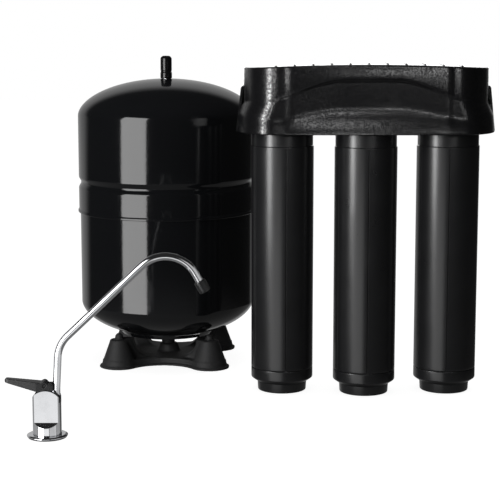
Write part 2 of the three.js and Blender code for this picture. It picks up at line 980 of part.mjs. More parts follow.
function stem() {
  const shaft = revolved(
    [
      [0, stemHeadBottom],
      [sealDiscRadius, stemHeadBottom],
      [sealDiscRadius, stemCollarHeight - stemCollarDepth],
      [stemCollarRadius, stemCollarHeight - stemCollarDepth],
      [stemCollarRadius, stemCollarHeight],
      [stemRadius, stemCollarHeight],
      [stemRadius, pivotHeight],
      [0, pivotHeight],
    ],
    boreSides,
  );
  return cut(
    joined(
      moved(shaft, pivotX, 0, 0),
      rodAlongY(stemEyeRadius, pivotX, pivotHeight, stemEyeWidth, boreSides),
    ),
    rodAlongY(pivotPinRadius + fitGap / 2, pivotX, pivotHeight, leverWidth, boreSides),
  );
}

function pivotPin() {
  return rodAlongY(pivotPinRadius, pivotX, pivotHeight, pivotPinLength, boreSides);
}

// The wound spring's middle line.
class SpringLine extends THREE.Curve {
  constructor(radius, bottom, top, turns) {
    super();
    this.radius = radius;
    this.bottom = bottom;
    this.rise = top - bottom;
    this.turns = turns;
  }

  getPoint(share, target = new THREE.Vector3()) {
    const angle = share * this.turns * 2 * Math.PI;
    const height = this.bottom + share * this.rise;
    return target.set(this.radius * Math.cos(angle), this.radius * Math.sin(angle), height);
  }
}

function roundSection(radius, sides) {
  const points = [];
  for (let i = 0; i < sides; i++) {
    const angle = (i / sides) * 2 * Math.PI;
    points.push([radius * Math.cos(angle), radius * Math.sin(angle)]);
  }
  return polygon(points);
}

function stemSpring() {
  const clearance = springWire / 2 + fitGap;
  const line = new SpringLine(
    springRadius,
    stemCollarHeight + clearance,
    faucetBoreTop - clearance,
    springTurns,
  );
  const wire = new THREE.ExtrudeGeometry(roundSection(springWire / 2, springWireSides), {
    steps: springTurns * springStepsPerTurn,
    extrudePath: line,
    bevelEnabled: false,
  });
  return moved(wire, pivotX, 0, 0);
}

// Side view of the lever about its pivot.
function leverOutline() {
  const shape = new THREE.Shape();
  const tipTop = leverTipRise + leverTipThickness / 2;
  const tipBottom = leverTipRise - leverTipThickness / 2;
  const tipMiddle = -leverArmLength + leverTipThickness / 2;
  shape.moveTo(tipMiddle, tipBottom);
  shape.lineTo(-leverToeLength, -leverToeDrop);
  shape.quadraticCurveTo(0, -leverBellyDrop - leverHeelRise, leverHeelLength, -leverHeelDrop);
  shape.lineTo(leverHeelLength, leverHeelRise - leverHeelRound);
  shape.quadraticCurveTo(
    leverHeelLength,
    leverHeelRise,
    leverHeelLength - leverHeelRound,
    leverHeelRise,
  );
  shape.lineTo(leverHumpHalfWidth, leverHeelRise);
  shape.quadraticCurveTo(0, leverHumpRise * 2 - leverHeelRise, leverRootX, leverRootRise);
  shape.lineTo(tipMiddle, tipTop);
  shape.absarc(tipMiddle, leverTipRise, leverTipThickness / 2, Math.PI / 2, Math.PI * 1.5);
  return shape;
}

// Top view of the lever: full width at the heel, drawn in towards the rounded tip.
function leverPlan() {
  const half = leverWidth / 2;
  const tipHalf = leverTipWidth / 2;
  const armStart = -leverToeLength;
  const shape = new THREE.Shape();
  shape.moveTo(leverHeelLength + cutOverrun, -half);
  shape.lineTo(leverHeelLength + cutOverrun, half);
  shape.lineTo(armStart, half);
  shape.lineTo(-leverArmLength + tipHalf, tipHalf);
  shape.absarc(-leverArmLength + tipHalf, 0, tipHalf, Math.PI / 2, Math.PI * 1.5);
  shape.lineTo(armStart, -half);
  return shape;
}

function lever() {
  const half = leverWidth / 2;
  const lowest = -leverBellyDrop - cutOverrun;
  const highest = leverTipRise + leverHumpRise;
  const body = common(
    alongY(leverOutline(), -half, half, leverCurveSteps),
    raised(leverPlan(), lowest, highest, leverCurveSteps),
  );
  const reach = leverHeelLength + cutOverrun;
  const fork = tubeRadius + leverForkGap;
  const notch = cut(
    box(0, reach, -fork, fork, lowest, highest),
    rodAlongY(leverCoreRadius, 0, 0, leverWidth, faucetSides),
  );
  const slot = stemEyeWidth / 2 + leverSlotGap;
  const eye = stemEyeRadius + leverSlotGap;
  const swing = eye + stemRadius;
  return cut(
    body,
    notch,
    box(-swing, reach, -slot, slot, lowest, 0),
    box(0, reach, -slot, slot, lowest, eye),
    rodAlongY(eye, 0, 0, 2 * slot, boreSides),
    rodAlongY(pivotPinRadius + pivotClearance, 0, 0, leverWidth + cutOverrun, boreSides),
  );
}

// The spout's middle line: straight runs joined by arcs in one upright plane. A heading of 0 points up
// and a positive heading leans towards +X. Straight runs take one step and arcs take even small ones.
class BentLine extends THREE.Curve {
  constructor(x, z, runs) {
    super();
    this.stations = [{ x, z, heading: 0 }];
    for (const { straight, turnTo, radius } of runs) {
      if (straight) this.goStraight(straight);
      else this.goRound(turnTo, radius);
    }
    this.steps = this.stations.length - 1;
    this.end = this.stations[this.steps];
  }

  goStraight(length) {
    const { x, z, heading } = this.stations.at(-1);
    this.stations.push({
      x: x + length * Math.sin(heading),
      z: z + length * Math.cos(heading),
      heading,
    });
  }

  goRound(turnTo, radius) {
    const { x, z, heading: start } = this.stations.at(-1);
    const steps = Math.ceil((turnTo - start) / radians(arcStep));
    for (let step = 1; step <= steps; step++) {
      const heading = start + ((turnTo - start) * step) / steps;
      this.stations.push({
        x: x + radius * (Math.cos(start) - Math.cos(heading)),
        z: z + radius * (Math.sin(heading) - Math.sin(start)),
        heading,
      });
    }
  }

  stationAt(share) {
    return this.stations[Math.round(share * this.steps)];
  }

  getPointAt(share, target = new THREE.Vector3()) {
    const { x, z } = this.stationAt(share);
    return target.set(x, 0, z);
  }

  getTangentAt(share, target = new THREE.Vector3()) {
    const { heading } = this.stationAt(share);
    return target.set(Math.sin(heading), 0, Math.cos(heading));
  }
}

function spoutLine() {
  return new BentLine(spoutX, spoutSocketFloor + fitGap, [
    { straight: spoutStraight },
    { turnTo: radians(riserLean), radius: riserBendRadius },
    { straight: riserLength },
    { turnTo: radians(armHeading), radius: armBendRadius },
    { straight: armLength },
    { turnTo: radians(tipHeading), radius: tipBendRadius },
    { straight: dropLength },
  ]);
}

function spoutTube() {
  const section = roundSection(tubeRadius, tubeSides);
  const bore = roundSection(tubeRadius - tubeWall, tubeSides);
  section.holes.push(bore);
  const line = spoutLine();
  return new THREE.ExtrudeGeometry(section, {
    steps: line.steps,
    extrudePath: line,
    bevelEnabled: false,
  });
}

// Spout tip, with Z along the water's way out and the tube's end at z = 0.
function spoutTip() {
  const grip = tubeRadius + fitGap;
  const out = tipLength - tipGrip;
  return revolved(
    [
      [grip, -tipGrip],
      [tipRadius - tipRound, -tipGrip],
      [tipRadius, tipRound - tipGrip],
      [tipRadius, out - tipRound],
      [tipRadius - tipRound, out],
      [tipOutlet, out],
      [tipOutlet, fitGap],
      [grip, fitGap],
    ],
    portSides,
  );
}

// Cartridges

function cartridgeCap() {
  const collar = cartridgeCollarTop;
  const spigot = cartridgeRadius - cartridgeNeckingDepth - cartridgeWall - fitGap;
  const well = spigot - cartridgeWall;
  const floorTop = cartridgeEndHeight;
  return revolved(
    [
      [0, 0],
      [cartridgeEndRadius - cartridgeEndTaper, 0],
      [cartridgeEndRadius, cartridgeEndHeight],
      [cartridgeRadius, cartridgeEndHeight + cartridgeChamferHeight],
      [cartridgeRadius, collar - cartridgeSeamChamfer],
      [cartridgeRadius - cartridgeSeamChamfer, collar],
      [spigot, collar],
      [spigot, collar + cartridgeSpigotHeight],
      [well, collar + cartridgeSpigotHeight],
      [well, floorTop],
      [0, floorTop],
    ],
    cartridgeSides,
  );
}

function cartridgeShell() {
  const bottom = cartridgeCollarTop + fitGap;
  const upper = cartridgeRadius - cartridgeNeckingDepth;
  const inner = upper - cartridgeWall;
  const roof = cartridgeShoulderTop - cartridgeWall;
  const body = revolved(
    [
      [inner, bottom],
      [cartridgeRadius - cartridgeSeamChamfer, bottom],
      [cartridgeRadius, bottom + cartridgeSeamChamfer],
      [cartridgeRadius, cartridgeNeckingHeight],
      [upper, cartridgeNeckingHeight + cartridgeNeckingDepth],
      [upper, cartridgeShoulderHeight],
      [cartridgeNeckRadius, cartridgeShoulderTop],
      [cartridgeNeckRadius, cartridgeNeckTop],
      [cartridgeNeckBore, cartridgeNeckTop],
      [cartridgeNeckBore, roof],
      [inner, cartridgeShoulderHeight - cartridgeWall],
    ],
    cartridgeSides,
  );
  const reach = cartridgeNeckRadius + lugReach;
  const lugs = cut(
    common(
      disc(reach, lugLevel, lugLevel + lugHeight, cartridgeSides),
      box(-reach, reach, -lugWidth / 2, lugWidth / 2, lugLevel, lugLevel + lugHeight),
    ),
    disc(cartridgeNeckBore + cartridgeWall, lugLevel - cutOverrun, headTop, cartridgeSides),
  );
  return joined(body, lugs);
}

function cartridgeMedia() {
  const outer = cartridgeRadius - cartridgeNeckingDepth - cartridgeWall - mediaGap;
  const bottom = cartridgeCollarTop + cartridgeSpigotHeight + fitGap;
  const top = cartridgeShoulderHeight - mediaTopGap;
  return washer(mediaBore, outer, bottom, top, mediaSides);
}

function cartridgeSeal() {
  const inner = cartridgeNeckRadius + fitGap;
  const outer = inner + 2 * sealWire;
  return washer(inner, outer, sealHeight - sealWire, sealHeight + sealWire, cartridgeSides);
}

// Cams and head

const camBore = cartridgeNeckRadius + 2 * sealWire + 2 * fitGap;
const camRadius = camBore + camWall;
const camCeiling = cartridgeNeckTop + fitGap;
const camTop = camCeiling + camTopThickness;

function shutoffCam() {
  const slotReach = cartridgeNeckRadius + lugReach + fitGap;
  const slotHalf = lugWidth / 2 + fitGap;
  const slotTop = lugLevel + lugHeight + fitGap;
  const cup = revolved(
    [
      [0, camCeiling],
      [camBore, camCeiling],
      [camBore, camBottom],
      [camRadius, camBottom],
      [camRadius, camTop],
      [spindleRadius, camTop],
      [spindleRadius, camTop + spindleHeight],
      [0, camTop + spindleHeight],
    ],
    cartridgeSides,
  );
  const slot = common(
    disc(slotReach, camBottom - cutOverrun, slotTop, cartridgeSides),
    box(-slotReach, slotReach, -slotHalf, slotHalf, camBottom - cutOverrun, slotTop),
  );
  return cut(cup, slot);
}

// Where cartridge number 0, 1 or 2 stands within the filter unit.
function cartridgePlace(number) {
  const step = number - (cartridgeCount - 1) / 2;
  return [step * cartridgePitch, step === 0 ? 0 : cartridgeSetback];
}

// Radius of a many-sided hole in which a round part of this radius turns freely.
function turningRadius(radius, sides) {
  return (radius + fitGap) / Math.cos(Math.PI / sides);
}

function manifoldHead() {
  const half = headLength / 2;
  const camHoleRadius = turningRadius(camRadius, cartridgeSides);
  const spindleHoleRadius = turningRadius(spindleRadius, cartridgeSides);
  const cupRadius = camRadius + fitGap + headCupWall;
  const outline = roundedRectangle(-half, half, headFront, headBack, headRound);
  let head = raised(outline, headBottom, headTop, headRoundSteps);
  const tools = [];
  for (let number = 0; number < cartridgeCount; number++) {
    const [x, y] = cartridgePlace(number);
    head = joined(head, moved(disc(cupRadius, camBottom, headTop, cartridgeSides), x, y, 0));
    const spindleTop = camTop + spindleHeight + fitGap;
    const camHole = disc(camHoleRadius, camBottom - cutOverrun, camTop + fitGap, cartridgeSides);
    const spindleHole = disc(spindleHoleRadius, camTop, spindleTop, cartridgeSides);
    tools.push(moved(camHole, x, y, 0), moved(spindleHole, x, y, 0));
  }
  for (const [x, y] of fittingPlaces()) {
    const socketBottom = headBottom - cutOverrun;
    const socketTop = headBottom + spigotHeight;
    const socket = disc(spigotRadius + fitGap, socketBottom, socketTop, fittingSides);
    tools.push(moved(socket, x, y, 0));
  }
  for (const [x, z] of screwPlaces()) {
    const hole = disc(screwRadius + fitGap, -screwBite - fitGap, cutOverrun, screwSides);
    tools.push(moved(hole.rotateX(-Math.PI / 2), x, headBack, z));
  }
  return cut(head, ...tools);
}

function shutoffCap() {
  const bottom = headTop + fitGap;
  const top = bottom + shutoffHeight;
  return revolved(
    [
      [0, bottom],
      [shutoffRadius, bottom],
      [shutoffRadius, top - shutoffChamfer],
      [shutoffRadius - shutoffChamfer, top],
      [0, top],
    ],
    fittingSides,
  );
}

// Tube ports

function fittingPlaces() {
  const gap = cartridgePitch / 2;
  return [-gap, gap].flatMap((x) => portRows.map((y) => [x, y]));
}

const fittingTop = headBottom - fitGap;
const fittingBottom = fittingTop - fittingDepth;

function portFitting() {
  const cage = colletRadius + fitGap;
  return revolved(
    [
      [tubeBore, fittingTop + spigotHeight],
      [tubeBore, fittingBottom + colletDepth + colletGap],
      [cage, fittingBottom + colletDepth + colletGap],
      [cage, fittingBottom],
      [fittingRadius, fittingBottom],
      [fittingRadius, fittingTop],
      [spigotRadius, fittingTop],
      [spigotRadius, fittingTop + spigotHeight],
    ],
    fittingSides,
  );
}

function portCollet() {
  const flangeTop = fittingBottom - colletGap;
  return revolved(
    [
      [tubeBore, flangeTop - colletFlangeHeight],
      [colletFlangeRadius, flangeTop - colletFlangeHeight],
      [colletFlangeRadius, flangeTop],
      [colletRadius, flangeTop],
      [colletRadius, fittingBottom + colletDepth],
      [tubeBore, fittingBottom + colletDepth],
    ],
    fittingSides,
  );
}

// Head cover

function smoothStep(share) {
  const s = Math.min(Math.max(share, 0), 1);
  return s * s * (3 - 2 * s);
}

// How strongly the front recess shows at a distance from the middle: 1 in the middle, 0 at its ends.
function sweep(x) {
  return 1 - smoothStep((Math.abs(x) - creaseFlat) / (creaseReach - creaseFlat));
}

function creaseHeight(x) {
  return creaseEndHeight + creaseRise * sweep(x);
}

function coverEdgeHeight(x) {
  return coverTop - coverCrown * (x / coverTopHalfWidth) ** 2;
}

function skirtFlareShare(riseShare) {
  const upper = skirtShares.findIndex(([rise]) => rise >= riseShare);
  const above = skirtShares[Math.max(upper, 1)];
  const below = skirtShares[Math.max(upper, 1) - 1];
  const along = (riseShare - below[0]) / (above[0] - below[0]);
  return below[1] + (above[1] - below[1]) * along;
}

// One level round the cover. The places of its points across the width are shared by all levels, so
// the crease runs along one ring.
function coverRing({ halfWidth, front, back, inset, depthShare = 1, heightAt, recessAt }) {
  const middle = (coverFront + coverBack) / 2;
  const reach = halfWidth - inset;
  const side = (across, edge, cornerWidth, cornerDepth, direction) => {
    const x = reach * across;
    const past = Math.max(Math.abs(x) - (reach - cornerWidth), 0) / cornerWidth;
    const round = cornerDepth * (1 - Math.sqrt(1 - past ** 2));
    return [x, edge + direction * (inset + round)];
  };
  const ring = [];
  for (let i = 0; i < coverSamples; i++) {
    const across = Math.sin((Math.PI / 2) * ((2 * i) / (coverSamples - 1) - 1));
    const bow = coverBow * across ** 2;
    const [x, y] = side(across, front + bow, coverCornerRadius, coverCornerDepth, 1);
    const set = y + (recessAt ? recessAt(x) : 0);
    const finalY = middle + (set - middle) * depthShare;
    ring.push([x, finalY, heightAt(x, depthShare)]);
  }
  for (let i = coverSamples - 1; i >= 0; i--) {
    const across = Math.sin((Math.PI / 2) * ((2 * i) / (coverSamples - 1) - 1));
    const [x, y] = side(across, back, coverBackRadius, coverBackRadius, -1);
    const finalY = middle + (y - middle) * depthShare;
    ring.push([x, finalY, heightAt(x, depthShare)]);
  }
  return ring;
}

function roofHeight(x, depthShare) {
  const acrossShare = x / coverTopHalfWidth;
  return coverEdgeHeight(x) + coverDome * (1 - depthShare ** 2) * (1 - acrossShare ** 2);
}

function coverLevels(inset, roofSteps, edgeSteps, skirtSteps) {
  const roof = [...roofSteps].reverse().map((depthShare) =>
    coverRing({
      halfWidth: coverTopHalfWidth,
      front: coverFront,
      back: coverBack,
      inset: coverEdgeRound + inset,
      depthShare,
      heightAt: (x, share) => roofHeight(x, share) - inset,
    }),
  );
  const edge = edgeSteps.map(([inShare, dropShare]) =>
    coverRing({
      halfWidth: coverTopHalfWidth,
      front: coverFront,
      back: coverBack,
      inset: inShare * coverEdgeRound + inset,
      heightAt: (x) => coverEdgeHeight(x) - dropShare * coverEdgeRound - inset,
    }),
  );
  const band = coverRing({
    halfWidth: coverTopHalfWidth,
    front: coverFront,
    back: coverBack,
    inset,
    heightAt: (x) => creaseHeight(x) - inset,
  });
  const skirt = [...skirtSteps].reverse().map(([riseShare]) =>
    coverRing({
      halfWidth: coverTopHalfWidth + coverSkirtFlare * skirtFlareShare(riseShare),
      front: coverFront - coverFrontFlare * skirtFlareShare(riseShare),
      back: coverBack,
      inset,
      heightAt: (x) => coverBottom + riseShare * (creaseHeight(x) - creaseStep - inset - coverBottom),
      recessAt: (x) => recessDepth * sweep(x) * riseShare ** recessFadePower,
    }),
  );
  return [...roof, ...edge, band, ...skirt];
}

function topRib(x) {
  const halfDepth = (coverBack - coverFront) / 2 - ribEndInset;
  const fullDepth = (coverBack - coverFront) / 2;
  const middle = (coverFront + coverBack) / 2;
  const bow = coverBow * (x / coverTopHalfWidth) ** 2;
  const top = [];
  for (let step = 0; step <= ribSteps; step++) {
    const share = (2 * step) / ribSteps - 1;
    const run = share * halfDepth + (bow * (1 - share)) / 2;
    top.push([middle + run, roofHeight(x, run / fullDepth) + ribHeight]);
  }
  const foot = coverEdgeHeight(x) - ribRoot;
  const shape = polygon([[top[0][0], foot], [top[ribSteps][0], foot], ...top.reverse()]);
  return alongX(shape, x - ribWidth / 2, x + ribWidth / 2);
}

function manifoldCover() {
  const ends = (table) => [table[0], table[table.length - 1]];
  const hood = skinned([
    ...coverLevels(0, roofShares, edgeShares, skirtShares),
    ...coverLevels(coverWall, ends(roofShares), ends(edgeShares), ends(skirtShares)).reverse(),
  ]);
  const ribs = [];
  for (let i = 0; i < ribCount; i++) {
    ribs.push(topRib((i - (ribCount - 1) / 2) * ribPitch));
  }
  const reach = coverTopHalfWidth + coverSkirtFlare + cutOverrun;
  const notch = box(
    -reach,
    reach,
    coverNotchFront,
    coverBack + cutOverrun,
    coverBottom - cutOverrun,
    coverNotchTop,
  );
  return cut(joined(hood, ...ribs), notch);
}

// Back plate and its screws

function screwPlaces() {
  return [-bossX, bossX].flatMap((x) => bossRises.map((rise) => [x, headBottom + rise]));
}

const backPlateTop = coverNotchTop - fitGap;
const backPlateRear = coverBack + backPlateDepth;
const wingFront = coverNotchFront + fitGap;

function backPlateOutline(inset) {
  return polygon([
    [-backPlateBottomHalfWidth + inset, coverBottom + inset],
    [backPlateBottomHalfWidth - inset, coverBottom + inset],
    [backPlateTopHalfWidth - inset, backPlateTop - backPlateRound],
    [backPlateTopHalfWidth - backPlateRound, backPlateTop - inset],
    [backPlateRound - backPlateTopHalfWidth, backPlateTop - inset],
    [inset - backPlateTopHalfWidth, backPlateTop - backPlateRound],
  ]);
}

// A round hole with a narrower slot above it, through the plate.
function keyhole(x) {
  const shape = new THREE.Shape();
  const neck = Math.asin(keyholeSlotRadius / keyholeRadius);
  const up = Math.PI / 2;
  const slotTop = keyholeHeight + keyholeSlotLength;
  shape.absarc(x, keyholeHeight, keyholeRadius, up + neck, up - neck + 2 * Math.PI, false);
  shape.absarc(x, slotTop, keyholeSlotRadius, 0, Math.PI, false);
  const start = backPlateRear - backPlateWall - cutOverrun;
  return alongY(shape, start, backPlateRear + cutOverrun, keyholeSteps);
}

function backPlate() {
  const floor = backPlateRear - backPlateWall;
  const bossFront = headBack + fitGap;
  const between = wingInnerHalfWidth;
  const start = wingFront - cutOverrun;
  const tray = cut(
    alongY(backPlateOutline(0), wingFront, backPlateRear),
    alongY(backPlateOutline(backPlateWall), start, floor),
    box(-between, between, start, coverBack, coverBottom - cutOverrun, coverTop),
  );
  const bosses = [];
  const tools = [keyhole(-keyholeX), keyhole(keyholeX)];
  const length = backPlateRear - bossFront;
  const sinkFloor = length - screwHeadHeight - 2 * fitGap;
  for (const [x, z] of screwPlaces()) {
    const boss = disc(bossRadius, 0, length - backPlateWall / 2, screwSides).rotateX(-Math.PI / 2);
    const shaftHole = disc(screwRadius + fitGap, -cutOverrun, length, screwSides);
    const sink = disc(screwHeadRadius + fitGap, sinkFloor, length + cutOverrun, screwSides);
    bosses.push(moved(boss, x, bossFront, z));
    tools.push(moved(shaftHole.rotateX(-Math.PI / 2), x, bossFront, z));
    tools.push(moved(sink.rotateX(-Math.PI / 2), x, bossFront, z));
  }
  return cut(joined(tray, ...bosses), ...tools);
}

// A screw that lies along Y, head towards the wall.
function mountingScrew() {
  const headBottomY = backPlateRear - screwHeadHeight - fitGap;
  return revolved(
    [
      [0, headBack - screwBite],
      [screwRadius, headBack - screwBite],
      [screwRadius, headBottomY],
      [screwHeadRadius, headBottomY],
      [screwHeadRadius, headBottomY + screwHeadHeight],
      [0, headBottomY + screwHeadHeight],
    ],
    screwSides,
  ).rotateX(-Math.PI / 2);
}

// Assembly

function buildTank() {
  const unit = new THREE.Group();
  unit.position.set(tankX, tankY, 0);
  addPart(unit, "tank_upper_shell", upperShell(), blackEnamel());
  addPart(unit, "tank_lower_shell", lowerShell(), blackEnamel());
  addPart(unit, "tank_liner", liner(), whitePlastic());
  addPart(unit, "tank_diaphragm", diaphragm(), blackRubber());
  addPart(unit, "diaphragm_clamp_ring", clampRing(), stainlessSteel());
  addPart(unit, "tank_water_port", portNipple(), stainlessSteel());
  addPart(unit, "water_port_seal", portSeal(), blackRubber());
  addPart(unit, "water_port_cap", portCap(), blackVinyl());
  addPart(unit, "air_valve", airValve(), plainBrass());
  addPart(unit, "air_valve_cap", airValveCap(), blackMoulding());
  addPart(unit, "tank_foot_ring", footRing(), blackEnamel());
  const stand = addPart(unit, "tank_stand", tankStand(), blackMoulding());
  stand.position.x = standShift;
  stand.rotation.z = radians(standTurn);
  return unit;
}

function buildFaucet() {
  const unit = new THREE.Group();
  unit.position.set(faucetX, faucetY, 0);
  addPart(unit, "faucet_gasket", gasket(), blackRubber());
  addPart(unit, "faucet_escutcheon", escutcheon(), brightChrome());
  addPart(unit, "faucet_body", faucetBody(), brightChrome());
  addPart(unit, "faucet_spout_insert", spoutInsert(), leverBlack());
  addPart(unit, "faucet_valve_seat", valveSeat(), plainBrass());
  addPart(unit, "faucet_valve_seal", stemSeal(), blackRubber());
  addPart(unit, "faucet_valve_stem", stem(), plainBrass());
  addPart(unit, "faucet_valve_spring", stemSpring(), stainlessSteel());
  addPart(unit, "faucet_pivot_pin", pivotPin(), stainlessSteel());
  const handle = addPart(unit, "faucet_lever", lever(), leverBlack());
  handle.position.set(pivotX, 0, pivotHeight);
  addPart(unit, "faucet_spout_tube", spoutTube(), brightChrome());
  const { x, z, heading } = spoutLine().end;
  const tip = addPart(unit, "faucet_spout_tip", spoutTip(), leverBlack());
  tip.position.set(x, 0, z);
  tip.rotation.y = heading;
  return unit;
}

function buildCartridge(number) {
  const unit = new THREE.Group();
  const [x, y] = cartridgePlace(number);
  const label = number + 1;
  const media = [
    ["sediment_carbon_media", carbonBlock()],
    ["membrane_element", filmWrap()],
    ["polishing_carbon_media", carbonBlock()],
  ];
  const [mediaName, mediaMaterial] = media[number];
  unit.position.set(x, y, 0);
  addPart(unit, `shutoff_cam_${label}`, shutoffCam(), greyPlastic());
  addPart(unit, `cartridge_${label}_shell`, cartridgeShell(), satinBlackPlastic());
  addPart(unit, `cartridge_${label}_cap`, cartridgeCap(), satinBlackPlastic());
  addPart(unit, `cartridge_${label}_${mediaName}`, cartridgeMedia(), mediaMaterial);
  addPart(unit, `cartridge_${label}_seal`, cartridgeSeal(), blackRubber());
  return unit;
}

function buildFilterUnit() {
  const unit = new THREE.Group();
  unit.position.set(filterX, filterY, 0);
  addPart(unit, "manifold_cover", manifoldCover(), blackMoulding());
  addPart(unit, "manifold_back_plate", backPlate(), blackMoulding());
  addPart(unit, "manifold_head", manifoldHead(), greyPlastic());
  const shutoff = addPart(unit, "automatic_shutoff_cap", shutoffCap(), greyPlastic());
  shutoff.position.x = shutoffX;
  screwPlaces().forEach(([x, z], i) => {
    const screw = addPart(unit, `back_plate_screw_${i + 1}`, mountingScrew(), stainlessSteel());
    screw.position.set(x, 0, z);
  });
  const portNames = ["inlet", "drain", "outlet", "tank"];
  fittingPlaces().forEach(([x, y], i) => {
    const fitting = addPart(unit, `${portNames[i]}_port_fitting`, portFitting(), whitePlastic());
    fitting.position.set(x, y, 0);
    const collet = addPart(unit, `${portNames[i]}_port_collet`, portCollet(), whitePlastic());
    collet.position.set(x, y, 0);
  });
  for (let number = 0; number < cartridgeCount; number++) unit.add(buildCartridge(number));
  return unit;
}

const units = new THREE.Group();
units.add(buildTank(), buildFaucet(), buildFilterUnit());

// The part's origin is on the floor, under the middle of the whole set.
const extent = new THREE.Box3().setFromObject(units, true);
const middle = extent.getCenter(new THREE.Vector3());
units.position.set(-middle.x, -middle.y, 0);

const group = new THREE.Group();
group.add(units);

export default group;
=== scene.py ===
import json
from math import asin, atan2, ceil, cos, hypot, pi, radians, sin, sqrt, tan

import bmesh
import bpy
from bpy.props import FloatProperty, FloatVectorProperty, IntProperty, PointerProperty
from mathutils import Matrix, Quaternion, Vector

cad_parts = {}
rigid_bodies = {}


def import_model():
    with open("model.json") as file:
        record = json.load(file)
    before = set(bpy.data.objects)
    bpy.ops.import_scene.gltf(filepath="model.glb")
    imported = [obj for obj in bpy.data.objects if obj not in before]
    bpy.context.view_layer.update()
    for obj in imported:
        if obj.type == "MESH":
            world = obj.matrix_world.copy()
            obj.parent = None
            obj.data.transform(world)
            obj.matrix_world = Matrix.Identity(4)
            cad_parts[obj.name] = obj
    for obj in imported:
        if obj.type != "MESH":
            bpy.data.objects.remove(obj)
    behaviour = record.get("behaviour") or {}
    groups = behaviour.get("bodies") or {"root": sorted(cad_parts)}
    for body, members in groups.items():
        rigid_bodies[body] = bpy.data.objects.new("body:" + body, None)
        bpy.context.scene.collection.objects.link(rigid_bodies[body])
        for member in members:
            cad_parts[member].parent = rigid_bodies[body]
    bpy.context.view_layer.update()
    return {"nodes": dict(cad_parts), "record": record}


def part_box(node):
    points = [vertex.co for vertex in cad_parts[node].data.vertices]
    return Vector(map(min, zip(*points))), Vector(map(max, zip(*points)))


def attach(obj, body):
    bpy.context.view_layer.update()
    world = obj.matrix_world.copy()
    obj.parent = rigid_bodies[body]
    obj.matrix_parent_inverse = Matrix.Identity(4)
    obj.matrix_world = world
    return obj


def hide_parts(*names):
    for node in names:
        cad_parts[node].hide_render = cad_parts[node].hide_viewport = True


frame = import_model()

bl_info = {
    "name": "Water Filtration Set",
    "version": (1, 0, 0),
    "blender": (4, 5, 0),
    "location": "View3D > Sidebar > Filtration",
    "description": "Dresses the storage tank, the faucet and the filter unit on their packed frame",
    "category": "Object",
}


# Properties


def setting(kind=FloatProperty, **fixed):
    """A maker of settings that share their type, unit and limits."""

    def made(name, description, default):
        return kind(name=name, description=description, default=default, **fixed)

    return made


plain = setting()
length = setting(unit="LENGTH", precision=5)
angle = setting(subtype="ANGLE", unit="ROTATION")
share = setting(min=0, max=1, subtype="FACTOR")
power = setting(min=0, unit="POWER")
position = setting(FloatVectorProperty, size=3, subtype="TRANSLATION", unit="LENGTH")
colour = setting(FloatVectorProperty, size=3, min=0, max=1, subtype="COLOR")
count = setting(IntProperty, min=1)


class TankSizes(bpy.types.PropertyGroup):
    """Sizes of the storage tank's steel shells and the caps on them"""

    radius: length("Radius", "Outside radius of the upper shell", 0.1173)
    wall: length("Wall", "Thickness of the steel", 0.0015)
    lift: length("Lift", "Height of the lower dome's middle above the floor", 0.033)
    height: length("Height", "From the lower dome's middle to the upper dome's", 0.3438)
    dome: length("Dome", "Rise of each dome", 0.048)
    lap_height: length("Lap height", "Where the upper shell's rim ends", 0.2015)
    lap_depth: length("Lap depth", "How far the lower shell reaches inside", 0.011)
    lip_flare: length("Lip flare", "How far the upper shell's rim stands out", 0.0013)
    lip_height: length("Lip height", "Height of the flared rim", 0.0042)
    groove_height: length("Groove height", "Where the rolled groove runs", 0.2413)
    groove_depth: length("Groove depth", "Depth of the rolled groove", 0.003)
    groove_width: length("Groove width", "Width of the rolled groove", 0.0156)
    foot_ring_radius: length("Foot ring radius", "Outside radius of the welded ring", 0.066)
    foot_ring_taper: length("Foot ring taper", "How far the ring draws in downwards", 0.004)
    foot_ring_wall: length("Foot ring wall", "Width of the welded ring", 0.005)
    cap_radius: length("Cap radius", "Outside radius of the water port's cap", 0.0077)
    cap_bead: length("Cap bead", "Height of the cap's thicker foot", 0.009)
    cap_neck: length("Cap neck", "Depth of the neck above the foot", 0.0007)
    cap_crown: length("Cap crown", "Rise of the cap's rounded end", 0.003)
    sides: count("Sides", "Segments round the tank", 160)


class StandSizes(bpy.types.PropertyGroup):
    """Sizes of the plastic stand under the tank"""

    turn: angle("Turn", "How far the stand is turned under the tank", radians(-3))
    shift: length("Shift", "How far the stand sits to the right of the tank's axis", 0.001)
    leg_spacing: length("Leg spacing", "Between the legs' middles", 0.120)
    foot_radius: length("Foot radius", "Radius of each round foot", 0.026)
    foot_lip: length("Foot lip", "Height of the rim round the stand", 0.0026)
    waist: length("Waist", "Depth of the stand between two feet", 0.110)
    leg_base_radius: length("Leg base", "Radius of a leg at the floor", 0.0245)
    leg_top_radius: length("Leg top", "Radius of a leg at its top", 0.0115)
    leg_height: length("Leg height", "Height of the legs", 0.0365)
    wall: length("Wall", "Thickness of the hollow legs", 0.0032)
    plate_height: length("Plate height", "Height of the plate between the legs", 0.0096)
    plate_inset: length("Plate inset", "How far the plate lies inside the rim", 0.004)
    web_inset: length("Web inset", "How far the webs lie inside the rim", 0.014)
    saddle_width: length("Saddle width", "Width of the trough at the leg tops", 0.084)
    saddle_floor: length("Saddle floor", "Width of the trough's floor", 0.034)
    knob_radius: length("Knob radius", "Radius of the knob on each leg", 0.0053)
    knob_height: length("Knob height", "Height of the knob on each leg", 0.008)
    post_base_radius: length("Post base", "Radius of the middle post at its foot", 0.0172)
    post_top_radius: length("Post top", "Radius of the middle post at its top", 0.0118)
    post_height: length("Post height", "Height of the middle post", 0.020)
    grid: length("Grid", "Cell size that the moulding is resampled to", 0.0012)


